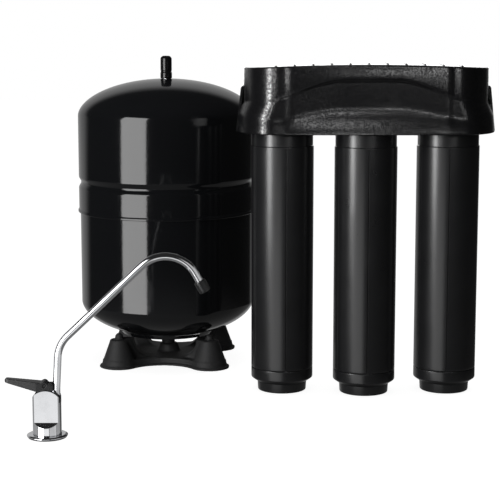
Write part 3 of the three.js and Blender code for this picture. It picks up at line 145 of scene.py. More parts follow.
class FaucetSizes(bpy.types.PropertyGroup):
    """Sizes of the dispensing faucet"""

    gasket_radius: length("Gasket radius", "Radius of the rubber gasket", 0.0216)
    plate_radius: length("Plate radius", "Radius of the escutcheon", 0.02275)
    plate_bottom: length("Plate bottom", "Underside of the escutcheon", 0.0013)
    plate_top: length("Plate top", "Top of the escutcheon", 0.0037)
    body_bottom: length("Body bottom", "Underside of the body", 0.004)
    body_radius: length("Body radius", "Radius of the body", 0.016)
    flat_width: length("Flat width", "Across the body's two flats", 0.0184)
    flat_foot: length("Flat foot", "Where the flats start", 0.018)
    ledge_drop: length("Ledge drop", "How far the ledge under a flat slopes down", 0.005)
    arch_top: length("Arch top", "Highest point of the body", 0.0535)
    arch_radius: length("Arch radius", "Radius of the body's arched top", 0.0185)
    arch_shift: length("Arch shift", "How far the arch's middle lies to the right", -0.0005)
    pocket_width: length("Pocket width", "Width of the lever's pocket", 0.0146)
    pocket_floor: length("Pocket floor", "Floor of the lever's pocket", 0.0465)
    insert_floor: length("Insert floor", "Floor of the insert's seat", 0.040)
    insert_left: length("Insert left", "Left end of the insert's seat", 0.005)
    insert_rise: length("Insert rise", "How far the insert stands above the arch", 0.0020)
    bore_radius: length("Bore radius", "Radius of the water way in the body", 0.005)
    bore_top: length("Bore top", "Top of the water way", 0.038)
    pivot_x: length("Pivot across", "Where the lever's pivot lies", -0.0017)
    pivot_height: length("Pivot height", "Height of the lever's pivot", 0.0587)
    tube_radius: length("Tube radius", "Radius of the spout tube", 0.0042)
    tube_wall: length("Tube wall", "Wall of the spout tube", 0.001)
    spout_x: length("Spout across", "Where the spout turns", 0.011)
    spout_floor: length("Spout floor", "Lower end of the spout tube", 0.0303)
    tip_radius: length("Tip radius", "Radius of the black tip", 0.0065)
    tip_grip: length("Tip grip", "How far the tip covers the tube", 0.009)
    tip_reach: length("Tip reach", "How far the tip reaches past the tube", 0.0045)


class LeverSizes(bpy.types.PropertyGroup):
    """Sizes of the lever, measured from its pivot"""

    width: length("Width", "Width at the heel", 0.014)
    tip_width: length("Tip width", "Width near the tip", 0.009)
    arm: length("Arm", "Length of the arm", 0.0444)
    tip_rise: length("Tip rise", "Height of the tip's middle", 0.0054)
    tip_thickness: length("Tip thickness", "Thickness of the tip", 0.0048)
    root_x: length("Root across", "Where the arm meets the hump", -0.0045)
    root_rise: length("Root rise", "Height of the arm at the hump", 0.0036)
    hump_rise: length("Hump rise", "Height of the rounded hump", 0.005)
    hump_half: length("Hump half width", "Half of the hump's width", 0.0036)
    heel_rise: length("Heel rise", "Height of the heel", 0.0022)
    heel_length: length("Heel length", "Reach of the heel to the right", 0.010)
    heel_drop: length("Heel drop", "Depth of the heel's end", 0.005)
    heel_round: length("Heel round", "Rounding of the heel's upper edge", 0.003)
    toe_length: length("Toe length", "Where the arm's underside starts", 0.0092)
    toe_drop: length("Toe drop", "Depth of the arm's underside there", 0.0065)
    belly_drop: length("Belly drop", "Depth of the rounded belly", 0.0092)
    core_radius: length("Core radius", "Radius left whole round the pivot", 0.008)
    fork_half: length("Fork half gap", "Half of the gap round the spout tube", 0.0048)
    grid: length("Grid", "Cell size that the moulding is resampled to", 0.0004)


class CartridgeSizes(bpy.types.PropertyGroup):
    """Sizes of the three filter cartridges"""

    radius: length("Radius", "Outside radius", 0.0381)
    wall: length("Wall", "Thickness of the shell", 0.003)
    end_radius: length("End radius", "Radius of the lower end", 0.0304)
    end_taper: length("End taper", "How far the lower end draws in", 0.0007)
    end_height: length("End height", "Height of the lower end", 0.011)
    chamfer: length("Chamfer", "Height of the slope above the lower end", 0.0055)
    collar_top: length("Collar top", "Height of the seam above the collar", 0.0292)
    seam: length("Seam", "Rounding on each side of the seam", 0.001)
    spigot: length("Spigot", "How far the cap reaches into the shell", 0.007)
    necking_height: length("Necking height", "Where the shell draws in", 0.304)
    necking: length("Necking", "How far the shell draws in", 0.0009)
    shoulder: length("Shoulder", "Height of the shoulder", 0.330)
    shoulder_rise: length("Shoulder rise", "Height of the shoulder's slope", 0.013)
    neck_radius: length("Neck radius", "Radius of the neck", 0.022)
    neck_bore: length("Neck bore", "Radius of the neck's bore", 0.010)
    neck_top: length("Neck top", "Top of the neck", 0.372)
    lug_reach: length("Lug reach", "How far the lugs stand out", 0.005)
    lug_width: length("Lug width", "Width of the lugs", 0.012)
    lug_level: length("Lug level", "Underside of the lugs", 0.349)
    lug_height: length("Lug height", "Height of the lugs", 0.005)
    line_width: length("Mould line width", "Width of the mould's parting lines", 0.0015)
    line_depth: length("Mould line depth", "Depth of the mould's parting lines", 0.0008)
    line_top: length("Mould line top", "Where the parting lines end", 0.302)
    sides: count("Sides", "Segments round a cartridge", 180)


class CoverSizes(bpy.types.PropertyGroup):
    """Sizes of the filter head's cover, its ribs and its back plate"""

    bottom: length("Bottom", "Height of the hem", 0.321)
    top: length("Top", "Height of the roof's edge in the middle", 0.4036)
    crown: length("Crown", "How far the roof's edge drops at the sides", 0.0045)
    dome: length("Dome", "Rise of the roof between its edges", 0.0016)
    wall: length("Wall", "Thickness of the moulding", 0.0025)
    front: length("Front", "Front face, from the middle cartridge's axis", -0.048)
    back: length("Back", "Rear edge, from the middle cartridge's axis", 0.054)
    bow: length("Bow", "How far the front draws back at its sides", 0.005)
    half_width: length("Half width", "Half of the width at the top", 0.1488)
    flare: length("Flare", "How far the skirt spreads at each side", 0.0077)
    corner_width: length("Corner width", "Width of the rounded front corners", 0.044)
    corner_depth: length("Corner depth", "Depth of the rounded front corners", 0.060)
    back_radius: length("Back radius", "Rounding of the rear corners", 0.010)
    edge_round: length("Edge round", "Rounding of the roof's edge", 0.0022)
    front_flare: length("Front flare", "How far the skirt spreads in front", 0.003)
    crease_end: length("Crease end", "Height of the crease at its ends", 0.3605)
    crease_rise: length("Crease rise", "Rise of the crease in the middle", 0.026)
    crease_flat: length("Crease flat", "Half of the crease's level stretch", 0.030)
    crease_reach: length("Crease reach", "Where the crease runs out", 0.130)
    crease_step: length("Crease step", "Height of the step under the band", 0.003)
    crease_round: length("Crease round", "Rounding of the band's lower edge", 0.0009)
    recess: length("Recess", "Depth of the recess under the band", 0.0055)
    band_lean: length("Band lean", "How far the band leans back at its top", 0.0012)
    bend_x: length("Bend across", "Where the front bends back towards its corners", 0.0967)
    bend_width: length("Bend width", "Width of the bend", 0.009)
    bend_step: length("Bend step", "How far the front steps back at the bend", 0.002)
    hem_round: length("Hem round", "Rounding of the hem", 0.0008)
    notch_front: length("Notch front", "Where the rear opening starts", 0.012)
    notch_top: length("Notch top", "Height of the rear opening", 0.377)
    samples: count("Samples", "Points across each ring", 97)
    rib_count: count("Ribs", "Ribs across the roof", 11)
    rib_pitch: length("Rib pitch", "Between the ribs' middles", 0.022)
    rib_width: length("Rib width", "Width of a rib", 0.0024)
    rib_height: length("Rib height", "How far a rib stands above the roof", 0.0013)
    rib_inset: length("Rib inset", "From the roof's edge to a rib's end", 0.009)
    plate_top_half: length("Plate top", "Half width of the back plate at its top", 0.1517)
    plate_bottom_half: length("Plate bottom", "Half width of the back plate at the hem", 0.1577)
    plate_depth: length("Plate depth", "How far the plate lies behind the cover", 0.008)
    plate_wall: length("Plate wall", "Thickness of the back plate", 0.003)
    plate_round: length("Plate round", "Rounding of the plate's upper corners", 0.004)
    plate_wing: length("Plate wing", "Where the side wings start", 0.142)
    keyhole_x: length("Keyhole across", "Half of the keyholes' spacing", 0.095)
    keyhole_height: length("Keyhole height", "Height of the keyholes' round part", 0.348)
    keyhole_radius: length("Keyhole radius", "Radius of the keyholes' round part", 0.005)
    keyhole_slot: length("Keyhole slot", "Radius of the keyholes' slots", 0.0026)
    keyhole_length: length("Keyhole length", "Length of the keyholes' slots", 0.010)
    screw_x: length("Screw across", "Half of the screws' spacing", 0.0505)
    screw_low: length("Lower screws", "Height of the lower screws", 0.3615)
    screw_high: length("Upper screws", "Height of the upper screws", 0.3705)


class FinishColours(bpy.types.PropertyGroup):
    """Colours of the set's finishes"""

    enamel: colour("Enamel", "The tank's black enamel", (0.0050, 0.0053, 0.0060))
    vinyl: colour("Vinyl", "The water port's cap", (0.0040, 0.0040, 0.0045))
    cover: colour("Cover", "The cover's textured plastic", (0.0040, 0.0040, 0.0044))
    stand: colour("Stand", "The stand's matt plastic", (0.0185, 0.0185, 0.0190))
    satin: colour("Satin plastic", "The cartridges' satin plastic", (0.0070, 0.0071, 0.0076))
    lever: colour("Lever", "The lever, the insert and the tip", (0.0045, 0.0045, 0.0050))
    chrome: colour("Chrome", "The faucet's plating", (0.86, 0.87, 0.89))
    steel: colour("Steel", "Bare stainless steel", (0.52, 0.53, 0.55))
    brass: colour("Brass", "Valve parts", (0.48, 0.31, 0.10))
    rubber: colour("Rubber", "Seals and the diaphragm", (0.0090, 0.0090, 0.0090))
    white: colour("White plastic", "Ports and the liner", (0.74, 0.74, 0.71))
    carbon: colour("Carbon", "Carbon blocks", (0.020, 0.020, 0.020))
    film: colour("Film", "The membrane's wrap", (0.66, 0.69, 0.72))
    grey: colour("Grey plastic", "The manifold head and the cams", (0.25, 0.27, 0.30))


class StudioSettings(bpy.types.PropertyGroup):
    """The stage, its lamps and the camera"""

    focal_share: plain("Focal length", "Focal length in frame widths", 3.136)
    camera_place: position("Camera", "Where the camera stands", (-0.0139, -1.9354, 0.472))
    pitch: angle("Pitch", "How far the camera looks down", radians(8.85))
    tank_strength: power("Tank light", "Power of the tank's softbox", 28)
    filter_strength: power("Filter light", "Power of the filter unit's strip", 19)
    band_strength: power("Band light", "Power of the band's lamp", 1.05)
    skirt_strength: power("Skirt light", "Power of the skirt's lamp", 0.75)
    low_strength: power("Low light", "Power of the lower strip", 3.0)
    roof_strength: power("Roof light", "Power of the light behind", 2.2)
    edge_strength: power("Edge light", "Power of the lamps for the front's bends", 1.0)
    side_strength: power("Faucet sides", "Power of each side light", 0.5)
    fill_strength: power("Faucet fill", "Power of the faucet's fill", 0.9)
    panel_strength: power("Panel light", "Power of the faucet's panel", 0.32)
    top_strength: power("Top light", "Power of the overhead light", 8)
    ambient: share("Ambient", "Even light from all round", 0.25)


# Shapes

# The gap between two parts that fit into each other
PLAY = 0.0003
# How far a cutting shape reaches past what it cuts
PAST = 0.002
# The area from which a face between rounded edges is shaded flat
BROAD_FLAT = 0.00004
# Points nearer than this are one point
SAME_PLACE = 1e-7
# Edges bent by more than this stay sharp where the rest is smooth
SHARP_ANGLE = radians(45)
NOWHERE = Vector((0, 0, 0))


def spread(start, stop, steps):
    """Even values from start to stop, both ends included."""
    return [start + (stop - start) * step / steps for step in range(steps + 1)]


def centre_of(node):
    """The upright axis of a CAD node, as a point on the floor."""
    low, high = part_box(node)
    return Vector(((low.x + high.x) / 2, (low.y + high.y) / 2, 0))


def eased(table, at):
    """A smooth monotone curve through a table of pairs, read at a place along it."""
    places = [pair[0] for pair in table]
    values = [pair[1] for pair in table]
    last = len(table) - 1
    slopes = [(values[i + 1] - values[i]) / (places[i + 1] - places[i]) for i in range(last)]
    bends = [slopes[0]]
    for before, after in zip(slopes, slopes[1:]):
        bends.append(0 if before * after <= 0 else 2 * before * after / (before + after))
    bends.append(slopes[-1])
    i = max(k for k in range(last) if k == 0 or places[k] <= at)
    width = places[i + 1] - places[i]
    s = (at - places[i]) / width
    return (
        values[i] * (1 + 2 * s) * (1 - s) ** 2
        + bends[i] * width * s * (1 - s) ** 2
        + values[i + 1] * s * s * (3 - 2 * s)
        + bends[i + 1] * width * s * s * (s - 1)
    )


def rounded(points, steps=5):
    """An outline whose corners that name a radius become arcs of that radius."""
    outline = []
    for i, point in enumerate(points):
        here = Vector(point[:2])
        if len(point) < 3:
            outline.append(tuple(here))
            continue
        back = Vector(points[i - 1][:2]) - here
        ahead = Vector(points[(i + 1) % len(points)][:2]) - here
        half = back.angle(ahead) / 2
        reach = min(point[2] / tan(half), back.length * 0.49, ahead.length * 0.49)
        start = here + back.normalized() * reach
        end = here + ahead.normalized() * reach
        for s in spread(0, 1, steps):
            weights = ((1 - s) ** 2, 2 * sin(half) * s * (1 - s), s * s)
            spot = start * weights[0] + here * weights[1] + end * weights[2]
            outline.append(tuple(spot / sum(weights)))
    return outline


def closed(bm, name):
    """The mesh of a closed form, with its faces turned outwards."""
    bmesh.ops.recalc_face_normals(bm, faces=bm.faces)
    mesh = bpy.data.meshes.new(name)
    bm.to_mesh(mesh)
    bm.free()
    return mesh


def skin(rings, ends_meet):
    """Quads between rings of points. A ring of one point is a pole."""
    bm = bmesh.new()
    corners = [[bm.verts.new(point) for point in ring] for ring in rings]
    pairs = list(zip(corners, corners[1:]))
    if ends_meet:
        pairs.append((corners[-1], corners[0]))
    sides = max(len(ring) for ring in rings)
    for low, high in pairs:
        if len(low) == len(high) == 1:
            continue
        for i in range(sides):
            j = (i + 1) % sides
            loop = [low[i % len(low)], low[j % len(low)], high[j % len(high)], high[i % len(high)]]
            bm.faces.new(list(dict.fromkeys(loop)))
    bmesh.ops.remove_doubles(bm, verts=bm.verts, dist=SAME_PLACE)
    bmesh.ops.dissolve_degenerate(bm, edges=bm.edges, dist=SAME_PLACE / 10)
    return closed(bm, "skin")


def lathe(profile, sides, spot=NOWHERE):
    """Revolves points of a radius and a height round an upright axis."""
    turns = [2 * pi * i / sides for i in range(sides)]
    rings = []
    for radius, height in profile:
        at_axis = radius < SAME_PLACE
        rings.append(
            [
                spot + Vector((radius * cos(turn), radius * sin(turn), height))
                for turn in ([0] if at_axis else turns)
            ]
        )
    return skin(rings, ends_meet=True)


def cone(bottom_radius, top_radius, bottom, top, sides, spot=NOWHERE):
    """A closed cone with its point cut off."""
    return lathe([(0, bottom), (bottom_radius, bottom), (top_radius, top), (0, top)], sides, spot)


def disc(radius, bottom, top, sides, spot=NOWHERE):
    """A closed cylinder."""
    profile = rounded([(0, bottom), (radius, bottom), (radius, top, 0), (0, top)])
    return lathe(profile, sides, spot)


def prism(outline, start, end, axis="Z"):
    """A flat outline run along an axis. It is drawn in the two other axes, in their order."""
    order = {"X": (2, 0, 1), "Y": (0, 2, 1), "Z": (0, 1, 2)}[axis]
    bm = bmesh.new()
    low, high = [
        [bm.verts.new([(a, b, level)[k] for k in order]) for a, b in outline]
        for level in (start, end)
    ]
    for i in range(len(low)):
        j = (i + 1) % len(low)
        bm.faces.new((low[i], low[j], high[j], high[i]))
    bm.faces.new(low)
    bm.faces.new(high)
    return closed(bm, "prism")


def block(x0, x1, y0, y1, z0, z1):
    """A box between its lowest and highest coordinates."""
    return prism([(x0, y0), (x1, y0), (x1, y1), (x0, y1)], z0, z1)


def placed(mesh, turn=Matrix.Identity(4), spot=NOWHERE):
    """The mesh turned and then moved."""
    mesh.transform(Matrix.Translation(spot) @ turn)
    return mesh


def settled(obj):
    """The object's mesh with its modifiers applied."""
    bpy.context.view_layer.update()
    graph = bpy.context.evaluated_depsgraph_get()
    return bpy.data.meshes.new_from_object(obj.evaluated_get(graph))


def on_bench(mesh):
    """A passing object that holds a mesh while modifiers work on it."""
    obj = bpy.data.objects.new("bench", mesh)
    bpy.context.scene.collection.objects.link(obj)
    return obj


def worked(mesh, operations, tools=()):
    """The mesh after a row of modifiers, each given as (type, settings)."""
    obj = on_bench(mesh)
    for kind, settings in operations:
        modifier = obj.modifiers.new("work", kind)
        for key, value in settings.items():
            setattr(modifier, key, value)
    result = settled(obj)
    for used in (obj, *tools):
        old = used.data
        bpy.data.objects.remove(used)
        bpy.data.meshes.remove(old)
    return result


def combined(mesh, operation, *others):
    """The mesh cut by, joined to or limited to the other meshes."""
    tools = [on_bench(other) for other in others]
    for tool in tools:
        tool.hide_render = True
    settings = {"operation": operation, "solver": "EXACT"}
    return worked(mesh, [("BOOLEAN", {**settings, "object": tool}) for tool in tools], tools)


def eased_edges(mesh, width, segments=3, limit=40):
    """The mesh with its hard edges rounded and its broad flats left flat."""
    bevel = {
        "width": width, "segments": segments, "limit_method": "ANGLE",
        "angle_limit": radians(limit), "use_clamp_overlap": True,
    }
    mesh = worked(mesh, [("BEVEL", bevel)])
    mesh.shade_smooth()
    mesh.set_sharp_from_angle(angle=SHARP_ANGLE)
    for face in mesh.polygons:
        face.use_smooth = face.area < BROAD_FLAT
    return mesh


def moulded(mesh, grid, passes):
    """The mesh resampled to an even skin, with its corners softened as in a mould."""
    remesh = {"mode": "VOXEL", "voxel_size": grid, "use_smooth_shade": True}
    return worked(mesh, [("REMESH", remesh), ("SMOOTH", {"factor": 0.5, "iterations": passes})])


def dressed(name, mesh, body, nodes, slot, finish=None, crease=32):
    """Puts a finished mesh in the scene in place of CAD nodes, in its slot's finish or its own."""
    obj = bpy.data.objects.new(name, mesh)
    bpy.context.scene.collection.objects.link(obj)
    mesh.name = name
    mesh.materials.clear()
    mesh.materials.append(finishes[finish or slot])
    if crease:
        mesh.shade_smooth()
        mesh.set_sharp_from_angle(angle=radians(crease))
    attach(obj, body)
    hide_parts(*nodes)
    return obj


# Finishes


class Wire:
    """An output of a node. Arithmetic on it adds Math nodes."""

    def __init__(self, finish, socket):
        self.finish = finish
        self.socket = socket

    def calculated(self, operation, first, second):
        return self.finish.add("ShaderNodeMath", {"operation": operation}, {0: first, 1: second})

    def __add__(self, other):
        return self.calculated("ADD", self, other)

    __radd__ = __add__

    def __sub__(self, other):
        return self.calculated("SUBTRACT", self, other)

    def __rsub__(self, other):
        return self.calculated("SUBTRACT", other, self)

    def __mul__(self, other):
        return self.calculated("MULTIPLY", self, other)

    __rmul__ = __mul__

    def __truediv__(self, other):
        return self.calculated("DIVIDE", self, other)


class Finish:
    """A node tree under construction."""

    def __init__(self, name, tree=None):
        if tree is None:
            self.material = bpy.data.materials.new(name)
            self.material.use_nodes = True
            tree = self.material.node_tree
        self.tree = tree
        tree.nodes.clear()

    def add(self, kind, settings=None, inputs=None, output=0):
        """Adds a node with its settings and inputs, and returns one of its outputs."""
        node = self.tree.nodes.new(kind)
        for key, value in (settings or {}).items():
            if key == "stops":
                ramp = node.color_ramp.elements
                while len(ramp) < len(value):
                    ramp.new(1)
                for element, (position, shade) in zip(ramp, value):
                    element.position = position
                    element.color = (shade, shade, shade, 1)
            else:
                setattr(node, key, value)
        for key, value in (inputs or {}).items():
            if isinstance(value, Wire):
                self.tree.links.new(value.socket, node.inputs[key])
            elif hasattr(value, "__len__") and len(value) == 3 and node.inputs[key].type == "RGBA":
                node.inputs[key].default_value = (*value, 1)
            else:
                node.inputs[key].default_value = value
        return Wire(self, node.outputs[output]) if len(node.outputs) else node

    def place(self):
        """Object coordinates, in metres."""
        return self.add("ShaderNodeTexCoord", output=3)

    def stretched(self, x, y, z):
        """Object coordinates, scaled along each axis."""
        return self.add("ShaderNodeMapping", inputs={"Vector": self.place(), "Scale": (x, y, z)})

    def cloud(self, size, detail=3, spot=None):
        """Soft noise whose features are about as large as size."""
        inputs = {"Vector": spot or self.place(), "Scale": 1 / size, "Detail": detail}
        return self.add("ShaderNodeTexNoise", inputs=inputs)

    def cells(self, size, feature="F1"):
        """Distances from scattered points, in cells about as large as size."""
        inputs = {"Vector": self.place(), "Scale": 1 / size}
        return self.add("ShaderNodeTexVoronoi", {"feature": feature}, inputs)

    def ramp(self, value, *stops):
        """The value put through stops, each a place and a grey level."""
        return self.add("ShaderNodeValToRGB", {"stops": stops}, {0: value})

    def tinted(self, factor, base, first, second):
        """The base colour, varied between two shares of its lightness."""
        inputs = {0: factor, 6: shaded(base, first), 7: shaded(base, second)}
        return self.add("ShaderNodeMix", {"data_type": "RGBA"}, inputs, output=2)

    def bump(self, height, depth):
        """A normal that dips by depth, in metres, as height runs from 1 to 0."""
        inputs = {"Height": height, "Distance": depth, "Strength": 1}
        return self.add("ShaderNodeBump", inputs=inputs)

    def rays(self):
        """Whether a ray is the camera's, and whether it comes from a shiny surface."""
        path = self.tree.nodes.new("ShaderNodeLightPath")
        return [Wire(self, path.outputs[kind]) for kind in ("Is Camera Ray", "Is Glossy Ray")]

    def surface(self, **inputs):
        """Ends the tree in a Principled shader and returns the material."""
        inputs = {
            key.replace("_", " ").title().replace("Ior", "IOR"): value
            for key, value in inputs.items()
        }
        shader = self.add("ShaderNodeBsdfPrincipled", inputs=inputs)
        self.add("ShaderNodeOutputMaterial", inputs={"Surface": shader})
        return self.material


def shaded(base, factor):
    """The colour made darker or lighter."""
    return tuple(min(1, channel * factor) for channel in base)


def enamel_finish(name, base):
    """Sprayed gloss enamel with a slight orange peel and a few dust specks."""
    finish = Finish(name)
    tint = finish.tinted(finish.cloud(0.05), base, 1, 1.25)
    peel = finish.cloud(0.0045, 1) + finish.cloud(0.011, 1) * 0.8
    specks = finish.ramp(finish.cells(0.011), (0.02, 1), (0.06, 0))
    return finish.surface(
        base_color=tint,
        roughness=finish.cloud(0.03) * 0.05 + 0.075 + specks * 0.12,
        normal=finish.bump(peel, 0.000018),
        specular_ior_level=0.5,
    )


def vinyl_finish(name, base):
    """Soft dipped vinyl, a little uneven."""
    finish = Finish(name)
    return finish.surface(
        base_color=finish.tinted(finish.cloud(0.004), base, 1, 1.6),
        roughness=finish.cloud(0.003) * 0.12 + 0.16,
        normal=finish.bump(finish.cloud(0.0035, 2), 0.00006),
    )


def grained_finish(name, base, grain_size, grain_depth, roughness, sparkle=0):
    """Moulded plastic with a leather-like grain, whose tops may shine."""
    finish = Finish(name)
    pebbles = finish.cells(grain_size, "SMOOTH_F1") * 0.6 + finish.cloud(grain_size * 0.8, 2)
    grain = pebbles + finish.cloud(grain_size * 2.4, 1) * 1.6
    worn = finish.cloud(0.025, 4)
    tops = finish.ramp(finish.cloud(grain_size * 1.7, 2), (0.42, 0), (0.6, 1))
    return finish.surface(
        coat_weight=tops * sparkle,
        coat_roughness=roughness - 0.02,
        specular_ior_level=0.5 - 0.3 * sparkle,
        base_color=finish.tinted(finish.cloud(grain_size * 1.6, 2), base, 0.6, 1.45),
        roughness=worn * 0.12 + (roughness - 0.06),
        normal=finish.bump(grain, grain_depth),
    )


def satin_finish(name, base, roughness, wave_size):
    """Smooth moulded plastic with a soft sheen."""
    finish = Finish(name)
    haze = finish.cloud(0.03, 4)
    fine = finish.cloud(0.0009, 2) * 0.6 + finish.cloud(wave_size, 1) * 1.5
    return finish.surface(
        base_color=finish.tinted(haze, base, 0.85, 1.25),
        roughness=haze * 0.08 + (roughness - 0.04),
        normal=finish.bump(fine, 0.00002),
    )


def chrome_finish(name, base):
    """Plating with faint smudges."""
    finish = Finish(name)
    smudge = finish.ramp(finish.cloud(0.012, 4), (0.45, 0), (0.75, 1))
    return finish.surface(
        base_color=finish.tinted(smudge, base, 1, 0.93),
        metallic=1,
        roughness=smudge * 0.05 + 0.06,
        normal=finish.bump(finish.cloud(0.006, 1), 0.000006),
    )


def brushed_finish(name, base, roughness):
    """Turned or drawn metal with fine lines round its axis."""
    finish = Finish(name)
    lines = finish.cloud(0.0004, 2, finish.stretched(0.15, 0.15, 1))
    return finish.surface(
        base_color=finish.tinted(finish.cloud(0.006), base, 0.85, 1.08),
        metallic=1,
        roughness=lines * 0.15 + (roughness - 0.07),
        normal=finish.bump(lines, 0.00001),
    )


def rubber_finish(name, base):
    """Dull rubber with a fine bloom."""
    finish = Finish(name)
    return finish.surface(
        base_color=finish.tinted(finish.cloud(0.008), base, 1, 1.7),
        roughness=finish.cloud(0.002) * 0.15 + 0.72,
        normal=finish.bump(finish.cloud(0.0008, 2), 0.00006),
    )


def carbon_finish(name, base):
    """Pressed carbon grit."""
    finish = Finish(name)
    grit = finish.cells(0.0011)
    return finish.surface(
        base_color=finish.tinted(grit, base, 0.6, 1.9),
        roughness=grit * 0.1 + 0.85,
        normal=finish.bump(grit, 0.0003),
    )


def film_finish(name, base):
    """Film wound on a slant, seen as faint bands."""
    finish = Finish(name)
    wrap = finish.add(
        "ShaderNodeTexWave",
        {"wave_type": "BANDS", "bands_direction": "DIAGONAL"},
        {"Vector": finish.place(), "Scale": 60, "Distortion": 0.6},
        output=1,
    )
    return finish.surface(
        base_color=finish.tinted(wrap, base, 0.86, 1),
        roughness=wrap * 0.15 + 0.3,
        normal=finish.bump(wrap, 0.0001),
    )


# By material slot: what makes the finish, its name, its colour and what else it takes
FINISH_MAKERS = {
    "black_enamel": (enamel_finish, "black_enamel", "enamel"),
    "black_vinyl": (vinyl_finish, "black_vinyl", "vinyl"),
    "black_moulding": (grained_finish, "grained_cover", "cover", 0.0011, 0.00007, 0.23, 1),
    "stand_moulding": (grained_finish, "matt_stand", "stand", 0.0009, 0.00009, 0.66),
    "satin_black_plastic": (satin_finish, "satin_black", "satin", 0.29, 0.02),
    "lever_black": (satin_finish, "lever_black", "lever", 0.4, 0.008),
    "bright_chrome": (chrome_finish, "bright_chrome", "chrome"),
    "stainless_steel": (brushed_finish, "stainless_steel", "steel", 0.3),
    "plain_brass": (brushed_finish, "plain_brass", "brass", 0.35),
    "black_rubber": (rubber_finish, "black_rubber", "rubber"),
    "white_plastic": (satin_finish, "white_plastic", "white", 0.42, 0.01),
    "carbon_block": (carbon_finish, "carbon_block", "carbon"),
    "film_wrap": (film_finish, "film_wrap", "film"),
    "grey_plastic": (satin_finish, "grey_plastic", "grey", 0.45, 0.012),
}
finishes = {}


def make_finishes():
    """Fills the finishes with the colours that the sidebar gives."""
    colours = bpy.context.scene.filtration_colours
    for slot, (maker, name, tone, *details) in FINISH_MAKERS.items():
        finishes[slot] = maker(f"{name}_finish", tuple(getattr(colours, tone)), *details)


# Storage tank

# Radii of the holes in the domes' middles
PORT_BORE = 0.0065
VALVE_BORE = 0.0045
# The exponent that squares the domes' shoulders a little
DOME_BEND = 1.1


def dome_points(radius, shoulder, rise, hole, steps=26):
    """Profile of a dome from its shoulder to the edge of the hole in its middle."""
    stop = atan2(sqrt(radius ** 2 - hole ** 2), hole) if hole else pi / 2
    return [
        (radius * cos(a), shoulder + rise * sin(a) ** DOME_BEND) for a in spread(0, stop, steps)
    ]


def dome_height(radius, at, rise):
    """How far a dome has risen at a distance from its axis."""
    return rise * sqrt(1 - (at / radius) ** 2) ** DOME_BEND


def groove_points(radius, sizes, steps=14):
    """Profile of the rolled groove, upwards."""
    half = sizes.groove_width / 2
    return [
        (radius - sizes.groove_depth * (1 + cos(pi * s)) / 2, sizes.groove_height + s * half)
        for s in spread(-1, 1, steps)
    ]


class FILTRATION_OT_tank_shells(bpy.types.Operator):
    """Build the tank's two lapped steel shells"""

    bl_idname = "filtration.tank_shells"
    bl_label = "Tank Shells"

    def execute(self, context):
        sizes = context.scene.filtration_tank
        centre = centre_of("tank_upper_shell")
        inner = sizes.radius - sizes.wall
        lip = sizes.radius + sizes.lip_flare
        fold = sizes.lap_height + sizes.lip_height
        shoulder = sizes.lift + sizes.height - sizes.dome
        outside = rounded([
            (inner, sizes.lap_height, 0.0003),
            (lip, sizes.lap_height, 0.0007),
            (lip, fold - 0.0016, 0.0012),
            (sizes.radius, fold, 0.0016),
            (sizes.radius, fold + 0.01),
        ])[:-1]
        outside += groove_points(sizes.radius, sizes)
        outside += dome_points(sizes.radius, shoulder, sizes.dome, PORT_BORE)
        inside = groove_points(inner, sizes)
        inside += dome_points(inner, shoulder, sizes.dome - sizes.wall, PORT_BORE)
        upper = lathe(outside + inside[::-1], sizes.sides, centre)
        dressed("upper_steel_shell", upper, "base", ["tank_upper_shell"], "black_enamel", crease=40)
        shoulder = sizes.lift + sizes.dome
        rim = sizes.lap_height + sizes.lap_depth
        skins = []
        for inset in (0, sizes.wall):
            reach = inner - PLAY - inset
            dome = dome_points(reach, shoulder, inset - sizes.dome, VALVE_BORE)
            skins.append([(reach, rim)] + dome)
        lower = lathe(skins[0] + skins[1][::-1], sizes.sides, centre)
        dressed("lower_steel_shell", lower, "base", ["tank_lower_shell"], "black_enamel", crease=40)
        return {"FINISHED"}


